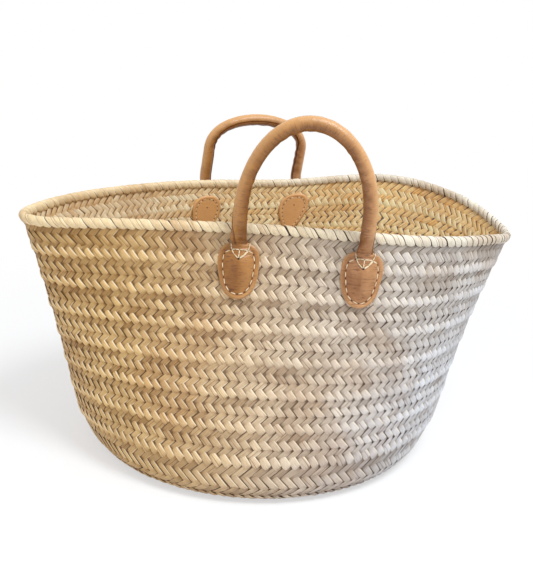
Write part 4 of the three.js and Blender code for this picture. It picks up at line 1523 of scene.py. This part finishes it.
rear_skin, start, end = handle_skin(
    "rear_handle_leather", "rear_right", "rear_left", lean=-5, top=94.0, leg_top=52.0, wall_lean=-0.075,
    pull=-5.0, crown=0.86, seams=(-2.85, -1.85, -2.85), seam_turn=(54, 38), lit_share=0.82)
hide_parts("rear_handle_sleeve", "rear_handle_rope")
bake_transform(rear_skin)
print("handles:", len(front_skin.data.polygons), "and", len(rear_skin.data.polygons), "faces")

# %% [markdown]
# ## One stitch
# A stitch is a short capsule, made from a sphere with few faces: it is drawn out along the sewing line and
# bowed a little away from the wall, because the thread dives into a hole at both ends. The same small
# sphere, sunk in the leather and darkened, stands for a hole.

# %% One stitch
deselect()
bpy.ops.mesh.primitive_uv_sphere_add(segments=8, ring_count=8, radius=1, rotation=(0, math.pi / 2, 0))
capsule = bpy.context.object
bpy.ops.object.transform_apply(location=False, rotation=True, scale=False)
outward_normals(capsule)
STITCH_PLACES, STITCH_FACES = read_template(capsule)


def capsule_between(start, end, radius, out):
    """A capsule from one place to another, bowed a little the way out."""
    along = end - start
    length = np.linalg.norm(along)
    along /= length
    side = np.cross(out, along)
    side /= np.linalg.norm(side)
    top = np.cross(along, side)
    x, y, z = STITCH_PLACES.T
    reach = np.sign(x) * np.abs(x) ** 0.6
    bow = 0.5 * radius * (1 - reach ** 2)
    return ((start + end) / 2 + np.outer(reach * (length / 2), along) + np.outer(y * radius, side)
            + np.outer(z * radius + bow, top))


print("stitch:", len(STITCH_PLACES), "places,", len(STITCH_FACES), "faces")

# %% [markdown]
# ## The sewing lines
# The patches are sewn right through the wall, in the groove along their border. The sewing line is the
# patch's outline drawn in. On the outer patch it leaves out the top, where the handle comes down. A stitch
# lies on the patch's face, so the height of that face is worked out once more at each of its ends.

# %% The sewing lines
OPEN_ABOVE = 19.5  # mm up the outer patch
LINE_START = [21.8, 8.0]  # mm up and mm from the middle


def sewing_line(outline):
    """The line from the top left corner down, round and up again."""
    rows = outline * [PATCH_HALF_HEIGHT - SEW_INSET, PATCH_HALF_WIDTH - SEW_INSET]
    if outline is OUTLINE:
        rows = np.concatenate([[LINE_START], rows[rows[:, 0] < OPEN_ABOVE]])
    left = np.column_stack([-rows[:, 1], rows[:, 0]])
    return np.concatenate([left, (left * [-1, 1])[::-1]])


def along_line(points, distances):
    """Places on a line of points, at distances from its start."""
    length = lengths_along(points)
    return np.stack([np.interp(distances, length, points[:, k]) for k in (0, 1)], -1)


def on_patch(name, spot, lift):
    """A place on the outer patch, so many mm over its face."""
    gap = border_gap(np.array([spot]), OUTLINE)[0]
    face = PATCH_LIFT + dome_rise(*spot, DOME_HEIGHT) - GROOVE * hump(gap, SEW_INSET, GROOVE_WIDTH)
    return on_wall(name, *spot, face + PUFF * hump(gap, PUFF_INSET, PUFF_WIDTH) + lift)


def way_out(name, spot):
    """The direction out of the wall."""
    return on_wall(name, *spot, 10.0) - on_wall(name, *spot, 0.0)


outer_line, inner_line = sewing_line(OUTLINE), sewing_line(INNER_OUTLINE)
print("sewing lines:", [round(lengths_along(line)[-1], 1) for line in (outer_line, inner_line)], "mm")

# %% [markdown]
# ## Stitches along the border
# A stitch shows, then a small dark hole, then the next stitch. Outside, each end of a stitch is a little off
# the line, as a hand sews. Inside the basket the stitches are closer and neater.

# %% Stitches along the border
STITCHES, INNER_STITCHES = 14, 20


def sew_border(name, threads, holes):
    """Adds the outer patch's stitches and holes, and gives back the way out of the wall at the last one."""
    pitch = lengths_along(outer_line)[-1] / STITCHES
    for index in range(STITCHES):
        start = (index + 0.19) * pitch
        pair = along_line(outer_line, [start, start + 0.63 * pitch]) + rng.normal(0, 0.16, (2, 2))
        out = way_out(name, pair[0])
        threads.append(capsule_between(*(on_patch(name, spot, 0.05) for spot in pair), 0.52, out))
        spot = along_line(outer_line, [index * pitch])[0]
        holes.append(on_patch(name, spot, -0.20) + STITCH_PLACES * 0.80)
    return out


def sew_inside(name, threads, holes, out):
    """Adds the inner patch's stitches and holes."""
    pitch = lengths_along(inner_line)[-1] / INNER_STITCHES
    for index in range(INNER_STITCHES):
        start = (index + 0.25) * pitch
        pair = along_line(inner_line, [start, start + 0.5 * pitch]) * INNER_SIZE
        ends = [on_wall(name, *spot, INNER_LIFT) for spot in pair]
        threads.append(capsule_between(*ends, 0.42, -out))
        spot = along_line(inner_line, [index * pitch])[0] * INNER_SIZE
        holes.append(on_wall(name, *spot, INNER_LIFT + 0.1) + STITCH_PLACES * 0.7)


print("helpers: sew_border, sew_inside")

# %% [markdown]
# ## The fan of thread
# More thread holds the handle's neck. It runs across the top of the patch, from both top corners and the
# middle down to one larger hole, and up over the neck from each corner. Each thread is two capsules, so
# that it can bend over the dome.

# %% The fan of thread
# Each thread's three places, in mm along and up
FAN = [
    [(-7.4, 22.0), (-3.6, 22.3), (0.3, 21.9)], [(0.7, 21.9), (4.8, 21.9), (9.0, 21.4)],
    [(-7.4, 22.0), (-5.0, 17.6), (-0.6, 13.2)], [(8.8, 21.2), (4.8, 16.4), (0.9, 13.3)],
    [(9.3, 20.7), (5.8, 16.3), (1.3, 13.0)], [(0.5, 21.7), (0.2, 17.5), (0.0, 13.4)],
    [(-7.6, 22.2), (-7.9, 25.0), (-8.4, 28.2)], [(9.0, 21.6), (10.6, 25.2), (10.9, 29.2)],
]
FAN_HOLES = [((0.0, 12.6), 1.35), ((0.5, 22.0), 0.6), ((-7.4, 22.0), 0.6), ((9.0, 21.4), 0.6)]
INNER_HOLE = (0.0, 11.5)


def sew_fan(name, threads, holes):
    """Adds the fan's threads and holes, and the one hole where it comes out inside the basket."""
    for row in FAN:
        first, middle, last = (on_patch(name, spot, 0.45) for spot in row)
        out = way_out(name, row[1])
        threads += [capsule_between(first, middle, 0.55, out), capsule_between(middle, last, 0.55, out)]
    for spot, size in FAN_HOLES:
        holes.append(on_patch(name, spot, -0.35 * size) + STITCH_PLACES * size)
    holes.append(on_wall(name, *INNER_HOLE, INNER_LIFT + 0.1) + STITCH_PLACES * 0.9)


print("helper: sew_fan")

# %% [markdown]
# ## Sewing the patches
# A foot's stitches are joined as one piece and its holes as another, because they differ in finish. Both
# ride on the basket, as the patches do. The stitches stand for the solid thread of the frame.

# %% Sewing the patches


def round_piece(name, places, material, slot, *nodes):
    """Joins copies of the capsule as one piece on the basket."""
    faces = [[corner + index * len(STITCH_PLACES) for corner in face]
             for index in range(len(places)) for face in STITCH_FACES]
    piece = make_object(name, np.concatenate(places), faces, material, 180)
    if nodes:
        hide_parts(*nodes)
    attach(piece, "basket")
    print(piece.name, len(places), "parts")


for name in FEET:
    threads, holes = [], []
    out = sew_border(name, threads, holes)
    sew_inside(name, threads, holes, out)
    sew_fan(name, threads, holes)
    round_piece(f"{name}_stitches", threads, waxed_thread, "waxed_thread", f"{name}_thread")
    round_piece(f"{name}_holes", holes, stitch_hole, "leather")
